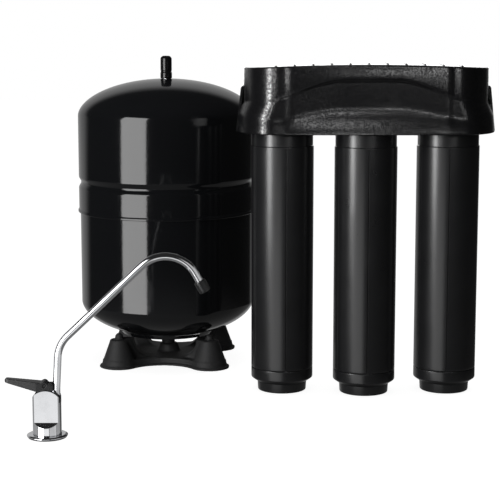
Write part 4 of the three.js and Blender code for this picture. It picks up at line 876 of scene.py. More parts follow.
class FILTRATION_OT_tank_fittings(bpy.types.Operator):
    """Build the tank's foot ring and its two caps"""

    bl_idname = "filtration.tank_fittings"
    bl_label = "Tank Fittings"

    def execute(self, context):
        sizes = context.scene.filtration_tank
        centre = centre_of("tank_upper_shell")
        low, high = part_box("tank_foot_ring")
        outer = sizes.foot_ring_radius
        inner = outer - sizes.foot_ring_wall
        shell = sizes.radius - sizes.wall - PLAY
        shoulder = sizes.lift + sizes.dome - PLAY
        ring = rounded([
            (inner - sizes.foot_ring_taper, low.z, 0.001),
            (outer - sizes.foot_ring_taper, low.z, 0.001),
            (outer, shoulder - dome_height(shell, outer, sizes.dome)),
            (inner, shoulder - dome_height(shell, inner, sizes.dome)),
        ])
        ring = lathe(ring, sizes.sides, centre)
        dressed("welded_foot_ring", ring, "base", ["tank_foot_ring"], "black_enamel")
        low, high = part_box("water_port_cap")
        wide = sizes.cap_radius
        neck = wide - sizes.cap_neck
        bead = low.z + sizes.cap_bead
        ceiling = high.z - 0.0049
        cap = rounded([
            (PORT_BORE, low.z, 0.0003),
            (neck, low.z, 0.0005),
            (wide, low.z + 0.0008, 0.0012),
            (wide, bead - 0.0018, 0.0014),
            (neck, bead, 0.0018),
            (wide - 0.0002, bead + 0.002, 0.0018),
            (wide - 0.0002, high.z - sizes.cap_crown * 0.9, 0.004),
            (wide * 0.6, high.z - 0.0002, 0.004),
            (0, high.z),
            (0, ceiling),
            (PORT_BORE, ceiling),
        ], steps=7)
        cap = lathe(cap, 72, centre)
        node = "water_port_cap"
        dressed("vinyl_port_cap", cap, node, [node], "black_vinyl", crease=50)
        low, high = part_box("air_valve_cap")
        reach = (high.x - low.x) / 2
        floor = low.z + 0.002
        cap = rounded([
            (0, low.z),
            (reach, low.z, 0.0008),
            (reach, high.z, 0.0006),
            (VALVE_BORE, high.z, 0.0003),
            (VALVE_BORE, floor),
            (0, floor),
        ])
        cap = lathe(cap, 72, centre)
        dressed(
            "air_valve_dust_cap", cap, "base", ["air_valve_cap"], "black_moulding", "stand_moulding"
        )
        return {"FINISHED"}


def stand_outline(sizes, inset, foot_steps=28, waist_steps=26):
    """The stand seen from above: four round feet joined by concave arcs."""
    half = sizes.leg_spacing / 2
    waist = sizes.waist / 2
    radius = (half ** 2 + (waist - half) ** 2 - sizes.foot_radius ** 2) / (
        2 * (sizes.foot_radius + half - waist)
    )
    centre = waist + radius
    reach = atan2(half, centre - half)
    points = []

    def arc(x, y, radius, start, sweep, steps):
        for step in range(steps):
            turn = start + sweep * step / steps
            points.append((x + radius * cos(turn), y + radius * sin(turn)))

    for side in range(4):
        turn = side * pi / 2
        up = turn + pi / 2
        waist_x, waist_y = centre * sin(turn), -centre * cos(turn)
        foot_x, foot_y = half * (cos(turn) + sin(turn)), half * (sin(turn) - cos(turn))
        arc(waist_x, waist_y, radius + inset, up + reach, -2 * reach, waist_steps)
        sweep = pi / 2 + 2 * reach
        arc(foot_x, foot_y, sizes.foot_radius - inset, up - reach + pi, sweep, foot_steps)
    return points


class FILTRATION_OT_stand(bpy.types.Operator):
    """Build the stand with its four hollow legs"""

    bl_idname = "filtration.stand"
    bl_label = "Tank Stand"

    def execute(self, context):
        sizes = context.scene.filtration_stand
        half = sizes.leg_spacing / 2
        reach = half + sizes.foot_radius + 2 * PAST
        wide = sizes.saddle_width / 2
        floor = sizes.saddle_floor / 2
        drop = sizes.leg_height - sizes.plate_height
        top = sizes.leg_height + 2 * PAST
        flank = [
            (wide - (wide - floor) * (1 - cos(a)), sizes.leg_height - drop * sin(a))
            for a in spread(0, pi / 2, 14)
        ]
        trough = [(wide, top)] + flank + [(-x, z) for x, z in flank[::-1]] + [(-wide, top)]
        web = combined(
            prism(stand_outline(sizes, sizes.web_inset), 0, sizes.leg_height),
            "DIFFERENCE",
            prism(trough, -reach, reach, "Y"),
            prism(trough, -reach, reach, "X"),
        )
        solids = [
            prism(stand_outline(sizes, 0), 0, sizes.foot_lip),
            prism(stand_outline(sizes, sizes.plate_inset), 0, sizes.plate_height),
        ]
        wells = []

        def pillar(base, top, height, sides, spot=NOWHERE):
            """A hollow cone, open below."""
            wall = sizes.wall
            solids.append(cone(base, top, 0, height, sides, spot))
            wells.append(cone(base - wall, top - wall, -2 * PAST, height - wall, 48, spot))

        pillar(sizes.post_base_radius, sizes.post_top_radius, sizes.post_height, 64)
        knob_foot = sizes.leg_height - sizes.wall / 2
        knob_top = sizes.leg_height + sizes.knob_height
        knob = rounded([
            (0, knob_foot),
            (sizes.knob_radius, knob_foot),
            (sizes.knob_radius, sizes.leg_height + sizes.knob_height * 0.6, 0.003),
            (sizes.knob_radius * 0.55, knob_top, 0.002),
            (0, knob_top),
        ])
        for x in (-half, half):
            for y in (-half, half):
                leg = Vector((x, y, 0))
                pillar(sizes.leg_base_radius, sizes.leg_top_radius, sizes.leg_height, 72, leg)
                solids.append(lathe(knob, 40, leg))
        stand = combined(web, "UNION", *solids)
        stand = combined(stand, "DIFFERENCE", *wells)
        stand = moulded(stand, sizes.grid, 3)
        spot = centre_of("tank_upper_shell") + Vector((sizes.shift, 0, 0))
        placed(stand, Matrix.Rotation(sizes.turn, 4, "Z"), spot)
        lowest = min(vertex.co.z for vertex in stand.vertices)
        placed(stand, spot=Vector((0, 0, -lowest)))
        dressed(
            "moulded_stand", stand, "base", ["tank_stand"], "black_moulding", "stand_moulding",
            crease=70,
        )
        return {"FINISHED"}


# Faucet

# Radii of the lever's pin hole and of the stem's guide in the body
PIN_BORE = 0.0017
STEM_GUIDE = 0.0021
# The stem's eye in the lever, and half the width of the slot that it sits in
EYE_RADIUS = 0.0032
SLOT_HALF = 0.0023
GASKET_THICKNESS = 0.001
# The tip's outlet
OUTLET_RADIUS = 0.003


def arch_outline(sizes, lift=0):
    """Everything above the arched top of the faucet's body, seen from the front."""
    reach = sizes.body_radius + 2 * PAST
    centre = sizes.arch_top - sizes.arch_radius
    half_turn = asin(sizes.body_radius / sizes.arch_radius)
    arch = [
        (sizes.arch_shift - sizes.arch_radius * sin(a), lift + centre + sizes.arch_radius * cos(a))
        for a in spread(half_turn, -half_turn, 48)
    ]
    foot = arch[0][1]
    top = sizes.arch_top + lift + 2 * PAST
    return [(-reach, foot)] + arch + [(reach, foot), (reach, top), (-reach, top)]


def rod_along_y(radius, x, z, span, sides):
    """A rod from front to back."""
    rod = disc(radius, -span / 2, span / 2, sides)
    return placed(rod, Matrix.Rotation(pi / 2, 4, "X"), Vector((x, 0, z)))


class FILTRATION_OT_faucet_base(bpy.types.Operator):
    """Build the faucet's gasket, escutcheon, body and insert"""

    bl_idname = "filtration.faucet_base"
    bl_label = "Faucet Base"

    def execute(self, context):
        sizes = context.scene.filtration_faucet
        lever = context.scene.filtration_lever
        centre = centre_of("faucet_gasket")
        gasket = rounded([
            (sizes.bore_radius, 0),
            (sizes.gasket_radius, 0, 0.0003),
            (sizes.gasket_radius, GASKET_THICKNESS, 0.0003),
            (sizes.bore_radius, GASKET_THICKNESS),
        ])
        gasket = lathe(gasket, 128, centre)
        dressed("deck_gasket", gasket, "base", ["faucet_gasket"], "black_rubber")
        edge = sizes.plate_radius
        slope = edge - sizes.body_radius
        plate = rounded([
            (sizes.bore_radius, sizes.plate_bottom),
            (edge - 0.0004, sizes.plate_bottom, 0.0003),
            (edge, sizes.plate_bottom + 0.0006, 0.0006),
            (edge, sizes.plate_bottom + 0.0013, 0.0008),
            (edge - slope * 0.35, sizes.plate_top, 0.003),
            (sizes.bore_radius, sizes.plate_top),
        ], steps=7)
        plate = lathe(plate, 128, centre)
        dressed(
            "chrome_escutcheon", plate, "base", ["faucet_escutcheon"], "bright_chrome", crease=40
        )
        reach = sizes.body_radius + 2 * PAST
        flat = sizes.flat_width / 2
        fall = sizes.ledge_drop / (sizes.body_radius - flat)
        beyond = sizes.arch_top + 2 * PAST
        shelf = [
            (flat, sizes.flat_foot),
            (reach, sizes.flat_foot - fall * (reach - flat)),
            (reach, beyond),
            (flat, beyond),
        ]
        half = sizes.pocket_width / 2
        socket = sizes.tube_radius + PLAY
        channel = placed(
            disc(sizes.tube_radius - sizes.tube_wall, 0, sizes.spout_x, 32),
            Matrix.Rotation(pi / 2, 4, "Y"),
            Vector((0, 0, (sizes.spout_floor + sizes.bore_top) / 2)),
        )
        stem = Vector((sizes.pivot_x, 0, 0))
        spout = Vector((sizes.spout_x, 0, 0))
        body = combined(
            disc(sizes.body_radius, sizes.body_bottom, sizes.arch_top, 128),
            "DIFFERENCE",
            prism(arch_outline(sizes), -reach, reach, "Y"),
            prism(shelf, -reach, reach, "X"),
            prism([(-y, z) for y, z in shelf], -reach, reach, "X"),
            block(-reach, reach, -half, half, sizes.pocket_floor, beyond),
            block(sizes.insert_left, reach, -half, half, sizes.insert_floor, beyond),
            disc(sizes.bore_radius, sizes.body_bottom - PAST, sizes.bore_top, 48, stem),
            disc(STEM_GUIDE, sizes.body_bottom, sizes.arch_top, 32, stem),
            disc(socket, sizes.spout_floor - PLAY, sizes.arch_top, 48, spout),
            channel,
        )
        body = placed(eased_edges(body, 0.0004, 3, 30), spot=centre)
        dressed("chrome_body", body, "base", ["faucet_body"], "bright_chrome", crease=0)
        swing = hypot(lever.heel_length, lever.heel_drop) + 2 * PLAY
        span = sizes.pocket_width + 2 * PAST
        bottom = sizes.insert_floor + PLAY
        insert = combined(
            disc(sizes.body_radius, bottom, sizes.arch_top + PAST, 128),
            "INTERSECT",
            block(sizes.insert_left + PLAY, reach, PLAY - half, half - PLAY, bottom, beyond),
        )
        insert = combined(
            insert,
            "DIFFERENCE",
            prism(arch_outline(sizes, sizes.insert_rise), -reach, reach, "Y"),
            rod_along_y(swing, sizes.pivot_x, sizes.pivot_height, span, 96),
            disc(socket, sizes.insert_floor, beyond, 48, spout),
        )
        insert = placed(eased_edges(insert, 0.0003, 3, 30), spot=centre)
        dressed(
            "spout_collar_insert", insert, "base", ["faucet_spout_insert"], "lever_black", crease=0
        )
        return {"FINISHED"}


def bent(start, corner, end, steps=10):
    """Points on a curve from start to end that is drawn to the corner, without its start."""
    points = []
    for s in spread(0, 1, steps)[1:]:
        weights = ((1 - s) ** 2, 2 * s * (1 - s), s * s)
        pairs = list(zip(weights, (start, corner, end)))
        points.append(tuple(sum(weight * point[k] for weight, point in pairs) for k in (0, 1)))
    return points


def round_end(x, y, radius, steps=14):
    """Half a circle to the left, from its upper end to its lower one."""
    return [(x - radius * sin(a), y + radius * cos(a)) for a in spread(0, pi, steps)]


class FILTRATION_OT_lever(bpy.types.Operator):
    """Build the faucet's lever"""

    bl_idname = "filtration.lever"
    bl_label = "Faucet Lever"

    def execute(self, context):
        sizes = context.scene.filtration_lever
        faucet = context.scene.filtration_faucet
        tip_x = -sizes.arm + sizes.tip_thickness / 2
        toe = (-sizes.toe_length, -sizes.toe_drop)
        heel = (sizes.heel_length, -sizes.heel_drop)
        heel_top = (sizes.heel_length, sizes.heel_rise - sizes.heel_round)
        heel_corner = (sizes.heel_length, sizes.heel_rise)
        heel_end = (sizes.heel_length - sizes.heel_round, sizes.heel_rise)
        hump = (sizes.hump_half, sizes.heel_rise)
        root = (sizes.root_x, sizes.root_rise)
        side_view = [toe]
        side_view += bent(toe, (0, -sizes.belly_drop - sizes.heel_rise), heel)
        side_view += [heel_top]
        side_view += bent(heel_top, heel_corner, heel_end)
        side_view += [hump]
        side_view += bent(hump, (0, sizes.hump_rise * 2 - sizes.heel_rise), root)
        side_view += round_end(tip_x, sizes.tip_rise, sizes.tip_thickness / 2)
        half = sizes.width / 2
        tip_half = sizes.tip_width / 2
        reach = sizes.heel_length + PAST
        lowest = -sizes.belly_drop - PAST
        highest = sizes.tip_rise + sizes.hump_rise
        plan = [(reach, -half), (reach, half), (-sizes.toe_length, half)]
        plan += round_end(tip_half - sizes.arm, 0, tip_half)
        plan += [(-sizes.toe_length, -half)]
        arm = combined(
            prism(side_view, -half, half, "Y"), "INTERSECT", prism(plan, lowest, highest)
        )
        notch = combined(
            block(0, reach, -sizes.fork_half, sizes.fork_half, lowest, highest),
            "DIFFERENCE",
            rod_along_y(sizes.core_radius, 0, 0, sizes.width, 64),
        )
        arm = combined(
            arm,
            "DIFFERENCE",
            notch,
            block(-0.005, reach, -SLOT_HALF, SLOT_HALF, lowest, 0),
            block(0, reach, -SLOT_HALF, SLOT_HALF, lowest, EYE_RADIUS),
            rod_along_y(EYE_RADIUS, 0, 0, 2 * SLOT_HALF, 40),
            rod_along_y(PIN_BORE, 0, 0, sizes.width + 2 * PAST, 32),
        )
        arm = moulded(arm, sizes.grid, 4)
        pivot = centre_of("faucet_gasket") + Vector((faucet.pivot_x, 0, faucet.pivot_height))
        arm = placed(arm, spot=pivot)
        dressed("moulded_lever", arm, "lever", ["faucet_lever"], "lever_black", crease=70)
        return {"FINISHED"}


# The spout's runs from its socket to its tip: a length, or a heading in degrees and a bend radius
SPOUT_RUNS = [
    (0.0227, None),
    (3.3, 0.060),
    (0.0332, None),
    (46.5, 0.036),
    (0.1141, None),
    (150.9, 0.037),
    (0.0184, None),
]


def spout_stations(sizes):
    """Places and headings along the spout's middle line."""
    stations = [(sizes.spout_x, sizes.spout_floor, 0)]
    for amount, bend in SPOUT_RUNS:
        x, z, heading = stations[-1]
        if bend is None:
            for run in spread(0, amount, 6)[1:]:
                stations.append((x + run * sin(heading), z + run * cos(heading), heading))
            continue
        steps = ceil((radians(amount) - heading) / radians(2))
        for turn in spread(heading, radians(amount), steps)[1:]:
            across = bend * (cos(heading) - cos(turn))
            stations.append((x + across, z + bend * (sin(turn) - sin(heading)), turn))
    return stations


class FILTRATION_OT_spout(bpy.types.Operator):
    """Build the bent spout tube and its tip"""

    bl_idname = "filtration.spout"
    bl_label = "Faucet Spout"

    def execute(self, context):
        sizes = context.scene.filtration_faucet
        centre = centre_of("faucet_gasket")
        stations = spout_stations(sizes)

        def ring(station, radius, sides=56):
            x, z, heading = station
            points = []
            for i in range(sides):
                turn = 2 * pi * i / sides
                out = radius * cos(turn)
                spot = (x + out * cos(heading), radius * sin(turn), z - out * sin(heading))
                points.append(centre + Vector(spot))
            return points

        bore = sizes.tube_radius - sizes.tube_wall
        rings = [ring(station, sizes.tube_radius) for station in stations]
        rings += [ring(station, bore) for station in stations[::-1]]
        tube = skin(rings, ends_meet=True)
        dressed("chrome_spout", tube, "spout", ["faucet_spout_tube"], "bright_chrome")
        grip = sizes.tube_radius + PLAY
        tip = rounded([
            (grip, -sizes.tip_grip, 0.0003),
            (sizes.tip_radius, -sizes.tip_grip, 0.0012),
            (sizes.tip_radius, sizes.tip_reach, 0.0014),
            (OUTLET_RADIUS, sizes.tip_reach, 0.0005),
            (OUTLET_RADIUS, PLAY),
            (grip, PLAY),
        ], steps=6)
        x, z, heading = stations[-1]
        end = centre + Vector((x, 0, z))
        tip = placed(lathe(tip, 72), Matrix.Rotation(heading, 4, "Y"), end)
        dressed("spout_nozzle", tip, "spout", ["faucet_spout_tip"], "lever_black")
        return {"FINISHED"}


# Filter unit

# Bearings of each cartridge's mould lines, in degrees from the front towards the right
MOULD_LINES = {1: (6, -60, 92), 2: (2, -62, 90), 3: (-3, -64, 88)}
# The share of the full depth that each of a cartridge's lines has
LINE_PARTS = (1, 0.5, 0.5)


def line_offset(turn, bearing):
    """The turn's place, and how far it lies from a mould line, both in radians."""
    line = (radians(bearing) - pi / 2) % (2 * pi)
    return line, abs((turn - line + pi) % (2 * pi) - pi)


def mould_line_depth(sizes, number, height, turn):
    """How deep the cartridge's surface dips at a bearing."""
    if not sizes.collar_top + 0.001 < height < sizes.line_top:
        return 0
    deepest = 0
    for part, bearing in zip(LINE_PARTS, MOULD_LINES[number]):
        off = line_offset(turn, bearing)[1] * sizes.radius
        near = max(0, 1 - off / (sizes.line_width / 2))
        deepest = max(deepest, near * part)
    return deepest * sizes.line_depth


def line_turns(sizes, number):
    """Bearings of the cartridge's corners, with more of them beside its mould lines."""
    turns = set(spread(0, 2 * pi, sizes.sides)[:-1])
    half = sizes.line_width / 2 / sizes.radius
    for bearing in MOULD_LINES[number]:
        line = line_offset(0, bearing)[0]
        turns = {turn for turn in turns if line_offset(turn, bearing)[1] > 1.6 * half}
        turns |= {(line + step * half) % (2 * pi) for step in (-1, -0.5, 0, 0.5, 1)}
    return sorted(turns)


class FILTRATION_OT_cartridges(bpy.types.Operator):
    """Build the three cartridges' shells and end caps"""

    bl_idname = "filtration.cartridges"
    bl_label = "Cartridges"

    def execute(self, context):
        sizes = context.scene.filtration_cartridges
        seam = sizes.collar_top
        bottom = seam + PLAY
        upper = sizes.radius - sizes.necking
        inner = upper - sizes.wall
        crown = sizes.shoulder + sizes.shoulder_rise
        shell = rounded([
            (inner, bottom),
            (sizes.radius, bottom, sizes.seam),
            (sizes.radius, seam + 0.0035),
            (sizes.radius, sizes.line_top - 0.0004),
            (sizes.radius, sizes.line_top + 0.0004),
            (sizes.radius, sizes.necking_height, 0.0006),
            (upper, sizes.necking_height + sizes.necking, 0.0006),
            (upper, sizes.shoulder, 0.004),
            (sizes.neck_radius, crown, 0.002),
            (sizes.neck_radius, sizes.neck_top, 0.0008),
            (sizes.neck_bore, sizes.neck_top, 0.0005),
            (sizes.neck_bore, crown - sizes.wall),
            (inner, sizes.shoulder - sizes.wall),
        ])
        spigot = inner - PLAY
        well = spigot - sizes.wall
        end_top = sizes.end_height
        cap = rounded([
            (0, 0),
            (sizes.end_radius - sizes.end_taper, 0, 0.0012),
            (sizes.end_radius, end_top, 0.0008),
            (sizes.radius, end_top + sizes.chamfer, 0.0022),
            (sizes.radius, seam, sizes.seam),
            (spigot, seam),
            (spigot, seam + sizes.spigot, 0.0006),
            (well, seam + sizes.spigot, 0.0006),
            (well, end_top),
            (0, end_top),
        ], steps=6)
        for number in (1, 2, 3):
            name = f"cartridge_{number}"
            centre = centre_of(f"{name}_shell")
            turns = line_turns(sizes, number)
            rings = []
            for radius, height in shell:
                outer = radius > upper + sizes.necking / 2
                ring = []
                for turn in turns:
                    dip = mould_line_depth(sizes, number, height, turn) if outer else 0
                    reach = radius - dip
                    ring.append(centre + Vector((reach * cos(turn), reach * sin(turn), height)))
                rings.append(ring)
            housing = combined(skin(rings, ends_meet=True), "UNION", *self.lugs(sizes, centre))
            slot = "satin_black_plastic"
            dressed(f"{name}_housing", housing, name, [f"{name}_shell"], slot, crease=28)
            end_cap = lathe(cap, sizes.sides, centre)
            dressed(f"{name}_end_cap", end_cap, name, [f"{name}_cap"], slot, crease=36)
        return {"FINISHED"}

    @staticmethod
    def lugs(sizes, centre):
        """Two bayonet lugs on the neck."""
        start = sizes.neck_radius - 0.001
        reach = sizes.neck_radius + sizes.lug_reach
        half = sizes.lug_width / 2
        edge = asin(half / reach)
        outline = [(reach * cos(a), reach * sin(a)) for a in spread(-edge, edge, 8)]
        outline = [(start, -half)] + outline + [(start, half)]
        lugs = []
        for side in (1, -1):
            points = [(centre.x + side * x, centre.y + side * y) for x, y in outline]
            lugs.append(prism(points, sizes.lug_level, sizes.lug_level + sizes.lug_height))
        return lugs


# How far the skirt has flared at a share of its rise from the hem to the crease
FRONT_SHARES = [(0, 1), (0.12, 0.81), (0.28, 0.47), (0.42, 0.13), (0.51, 0.01), (0.6, 0), (1, 0)]
SIDE_SHARES = [(0, 1), (0.5, 0.92), (0.78, 0.45), (1, 0)]


def smooth_step(value):
    """A soft change from 0 to 1."""
    s = min(max(value, 0), 1)
    return s * s * (3 - 2 * s)


def sweep_at(sizes, x):
    """How strongly the front recess shows at x: 1 in the middle, 0 at its ends."""
    reach = sizes.crease_reach - sizes.crease_flat
    return 1 - smooth_step((abs(x) - sizes.crease_flat) / reach)


def step_at(sizes, x):
    """How far the front steps back beyond the bends at both ends of its middle panel."""
    return sizes.bend_step * smooth_step((abs(x) - sizes.bend_x) / sizes.bend_width + 0.5)


def crease_at(sizes, x):
    """Height of the crease."""
    return sizes.crease_end + sizes.crease_rise * sweep_at(sizes, x)


def edge_at(sizes, x):
    """Height of the roof's edge."""
    return sizes.top - sizes.crown * (x / sizes.half_width) ** 2


def cover_ring(sizes, half_width, front, inset, height_at, recess_at=None, depth_share=1):
    """One level round the cover, in the unit's own frame."""
    back = sizes.back
    middle = (sizes.front + back) / 2
    reach = half_width - inset
    lasts = sizes.samples - 1
    across = [sin(pi / 2 * (2 * i / lasts - 1)) for i in range(sizes.samples)]

    def side(at, edge, corner_width, corner_depth, direction):
        x = reach * at
        past = max(abs(x) - (reach - corner_width), 0) / corner_width
        turn_in = corner_depth * (1 - sqrt(max(0, 1 - past ** 2)))
        return x, edge + direction * (inset + turn_in)

    ring = []
    for at in across:
        edge = front + sizes.bow * at ** 2
        x, y = side(at, edge, sizes.corner_width, sizes.corner_depth, 1)
        y += recess_at(x) if recess_at else 0
        ring.append(Vector((x, middle + (y - middle) * depth_share, height_at(x))))
    for at in across[::-1]:
        x, y = side(at, back, sizes.back_radius, sizes.back_radius, -1)
        ring.append(Vector((x, middle + (y - middle) * depth_share, height_at(x))))
    return ring


def cover_levels(sizes, inset, roof_steps, edge_steps, skirt_steps):
    """Rings from the roof's middle line down to the hem."""
    levels = []

    def level(height_at, recess_at, turn_in=0, depth_share=1, flare=0, side_flare=0):
        """One more ring, held in by this skin's own inset."""
        wide = sizes.half_width + sizes.flare * side_flare
        front = sizes.front - sizes.front_flare * flare
        ring = cover_ring(sizes, wide, front, turn_in + inset, height_at, recess_at, depth_share)
        levels.append(ring)

    def lean_back(x):
        return sizes.band_lean + step_at(sizes, x)

    for depth in spread(0, 1, roof_steps)[:-1]:

        def roof_height(x):
            dome = sizes.dome * (1 - depth ** 2) * (1 - (x / sizes.half_width) ** 2)
            return edge_at(sizes, x) + dome - inset

        level(roof_height, lean_back, sizes.edge_round, depth)
    for a in spread(0, pi / 2, edge_steps):
        level(
            lambda x: edge_at(sizes, x) - (1 - cos(a)) * sizes.edge_round - inset,
            lean_back,
            (1 - sin(a)) * sizes.edge_round,
        )
    rim = sizes.crease_round
    for down in spread(0, 1, edge_steps)[1:]:

        def band_height(x):
            top = edge_at(sizes, x) - sizes.edge_round
            return top + (crease_at(sizes, x) + rim - top) * down - inset

        level(band_height, lambda x: sizes.band_lean * (1 - down) ** 2 + step_at(sizes, x))
    for lift, fold in ((rim * 0.3, rim * 0.3), (0, rim)):
        level(
            lambda x: crease_at(sizes, x) + lift - inset,
            lambda x: fold * sweep_at(sizes, x) + step_at(sizes, x),
        )
    for rise in [0.985 + 0.015 * s for s in (1, 0)] + spread(0.97, 0, skirt_steps):
        flare = eased(FRONT_SHARES, rise)

        def skirt_height(x):
            under = crease_at(sizes, x) - sizes.crease_step - inset
            return sizes.bottom + rise * (under - sizes.bottom)

        level(
            skirt_height,
            lambda x: (sizes.recess * sweep_at(sizes, x) + step_at(sizes, x)) * (1 - flare),
            flare=flare,
            side_flare=eased(SIDE_SHARES, rise),
        )
    return levels


def hem_levels(sizes):
    """Rings that round the hem between the outer and the inner skin."""
    half = sizes.wall / 2
    wide = sizes.half_width + sizes.flare
    front = sizes.front - sizes.front_flare
    return [
        cover_ring(
            sizes, wide, front, half - half * cos(a),
            lambda x: sizes.bottom + sizes.hem_round * (1 - sin(a)),
        )
        for a in spread(0, pi, 6)
    ]


class Tree(Finish):
    """A Geometry Nodes tree under construction. Its last input is the material."""

    def __init__(self, name, inputs):
        tree = bpy.data.node_groups.new(name, "GeometryNodeTree")
        super().__init__(name, tree)
        labels = {"Geometry": "Geometry", **inputs, "Material": "Material"}
        interface = tree.interface
        interface.new_socket("Geometry", in_out="OUTPUT", socket_type="NodeSocketGeometry")
        self.keys = {}
        for label, kind in labels.items():
            socket = interface.new_socket(label, in_out="INPUT", socket_type=f"NodeSocket{kind}")
            self.keys[label] = socket.identifier
        entry = tree.nodes.new("NodeGroupInput")
        self.given = [Wire(self, entry.outputs[label]) for label in labels]

    def moved(self, geometry, vector, turn=(0.0, 0.0, 0.0)):
        """The geometry turned and moved."""
        inputs = {"Geometry": geometry, "Translation": vector, "Rotation": turn}
        return self.add("GeometryNodeTransform", inputs=inputs)

    def nudged(self, geometry, offset):
        """The geometry with each of its points moved by its own offset."""
        inputs = {"Geometry": geometry, "Offset": offset}
        return self.add("GeometryNodeSetPosition", inputs=inputs)

    def copied(self, points, shape):
        """The shape on each point."""
        inputs = {"Points": points, "Instance": shape}
        return self.add("GeometryNodeInstanceOnPoints", inputs=inputs)

    def position(self):
        """The three coordinates of each point."""
        spot = self.add("GeometryNodeInputPosition")
        node = self.add("ShaderNodeSeparateXYZ", inputs={0: spot}).socket.node
        return [Wire(self, output) for output in node.outputs]

    def joined(self, x, y, z):
        """A vector of three values."""
        return self.add("ShaderNodeCombineXYZ", inputs={0: x, 1: y, 2: z})

    def finish_with(self, geometry):
        """Ends the tree in real geometry that wears the material."""
        real = self.add("GeometryNodeRealizeInstances", inputs={0: geometry})
        worn = self.add("GeometryNodeSetMaterial", inputs={0: real, "Material": self.given[-1]})
        self.add("NodeGroupOutput", inputs={0: worn})
        return self

    def grown(self, mesh, values):
        """The mesh that the tree makes of a base mesh and the values of its inputs."""
        obj = on_bench(mesh)
        modifier = obj.modifiers.new("tree", "NODES")
        modifier.node_group = self.tree
        for label, value in values.items():
            modifier[self.keys[label]] = value
        result = settled(obj)
        obj.modifiers.remove(modifier)
        bpy.data.objects.remove(obj)
        return result


def repeat_tree():
    """Copies of the base mesh on a grid of columns and rows, upright or flat."""
    kinds = {
        "Columns": "Int", "Rows": "Int", "Column Pitch": "Float", "Row Pitch": "Float",
        "Turn": "Rotation", "Place": "Vector",
    }
    tree = Tree("repeated_on_grid", kinds)
    base, columns, rows, column_pitch, row_pitch, turn, spot = tree.given[:-1]
    size = {0: (columns - 1) * column_pitch, 1: (rows - 1) * row_pitch, 2: columns, 3: rows}
    grid = tree.add("GeometryNodeMeshGrid", inputs=size)
    return tree.finish_with(tree.copied(tree.moved(grid, spot, turn), base))


def rib_tree():
    """Ribs side by side that follow the roof's crown and dome."""
    lengths = (
        "Pitch", "Width", "Height", "Length", "Root", "Roof", "Crown", "Dome", "Half Width",
        "Half Depth",
    )
    kinds = {"Count": "Int", **dict.fromkeys(lengths, "Float"), "Place": "Vector"}
    tree = Tree("roof_ribs", kinds)
    count, pitch, width, height, span, root, roof, crown, dome = tree.given[1:10]
    half_width, half_depth, spot = tree.given[10:13]
    cells = {"Vertices X": 7, "Vertices Y": 41, "Vertices Z": 3}
    size = tree.joined(width, span, height + root)
    bar = tree.add("GeometryNodeMeshCube", inputs={"Size": size, **cells})
    x, y, z = tree.position()
    across = x * 2 / width
    along = y * 2 / span
    upper = tree.add("ShaderNodeMath", {"operation": "GREATER_THAN"}, {0: z, 1: 0.0})
    fall = across * across * across * across * 0.45
    end = tree.add("ShaderNodeMath", {"operation": "POWER"}, {0: along * along, 1: 24.0})
    softened = tree.nudged(bar, tree.joined(0.0, 0.0, upper * (fall + end * 0.55) * height * -1))
    row = {
        "Count": count,
        "Start Location": tree.joined((count - 1) * pitch * -0.5, 0.0, 0.0),
        "Offset": tree.joined(pitch, 0.0, 0.0),
    }
    ribs = tree.copied(tree.add("GeometryNodeMeshLine", inputs=row), softened)
    real = tree.add("GeometryNodeRealizeInstances", inputs={0: ribs})
    x, y, z = tree.position()
    over = x / half_width
    deep = y / half_depth
    side_fall = over * over
    rise = dome * (1 - deep * deep) * (1 - side_fall) - crown * side_fall
    foot = roof + (height - root) * 0.5
    return tree.finish_with(tree.moved(tree.nudged(real, tree.joined(0.0, 0.0, rise + foot)), spot))


# How deep the ribs are sunk into the roof
RIB_ROOT = 0.0006


class FILTRATION_OT_cover(bpy.types.Operator):
    """Build the filter head's cover and the ribs on its roof"""

    bl_idname = "filtration.cover"
    bl_label = "Head Cover"

    def execute(self, context):
        sizes = context.scene.filtration_cover
        centre = centre_of("cartridge_2_shell")
        rings = cover_levels(sizes, 0, 12, 8, 26)[:-1]
        rings += hem_levels(sizes)
        rings += cover_levels(sizes, sizes.wall, 4, 3, 8)[-2::-1]
        reach = sizes.half_width + sizes.flare + 2 * PAST
        beyond = sizes.back + 2 * PAST
        low = sizes.bottom - 2 * PAST
        notch = block(-reach, reach, sizes.notch_front, beyond, low, sizes.notch_top)
        hood = placed(combined(skin(rings, ends_meet=False), "DIFFERENCE", notch), spot=centre)
        slot = "black_moulding"
        dressed("head_cover", hood, "base", ["manifold_cover"], slot, crease=40)
        half_depth = (sizes.back - sizes.front) / 2
        values = {
            "Count": sizes.rib_count,
            "Pitch": sizes.rib_pitch,
            "Width": sizes.rib_width,
            "Height": sizes.rib_height,
            "Length": 2 * (half_depth - sizes.rib_inset),
            "Root": RIB_ROOT,
            "Roof": sizes.top,
            "Crown": sizes.crown,
            "Dome": sizes.dome,
            "Half Width": sizes.half_width,
            "Half Depth": half_depth,
            "Place": (centre.x, centre.y + (sizes.front + sizes.back) / 2, 0.0),
            "Material": finishes[slot],
        }
        ribs = rib_tree().grown(bpy.data.meshes.new("rib_base"), values)
        dressed("roof_ribs", ribs, "base", ["manifold_cover"], slot, crease=40)
        return {"FINISHED"}


def keyhole_outline(sizes, x):
    """A round hole with a narrower slot above it."""
    neck = asin(sizes.keyhole_slot / sizes.keyhole_radius)
    start = pi / 2 + neck
    points = [
        (x + sizes.keyhole_radius * cos(a), sizes.keyhole_height + sizes.keyhole_radius * sin(a))
        for a in spread(start, start + 2 * (pi - neck), 40)
    ]
    top = sizes.keyhole_height + sizes.keyhole_length
    return points + [
        (x + sizes.keyhole_slot * cos(a), top + sizes.keyhole_slot * sin(a))
        for a in spread(0, pi, 20)
    ]


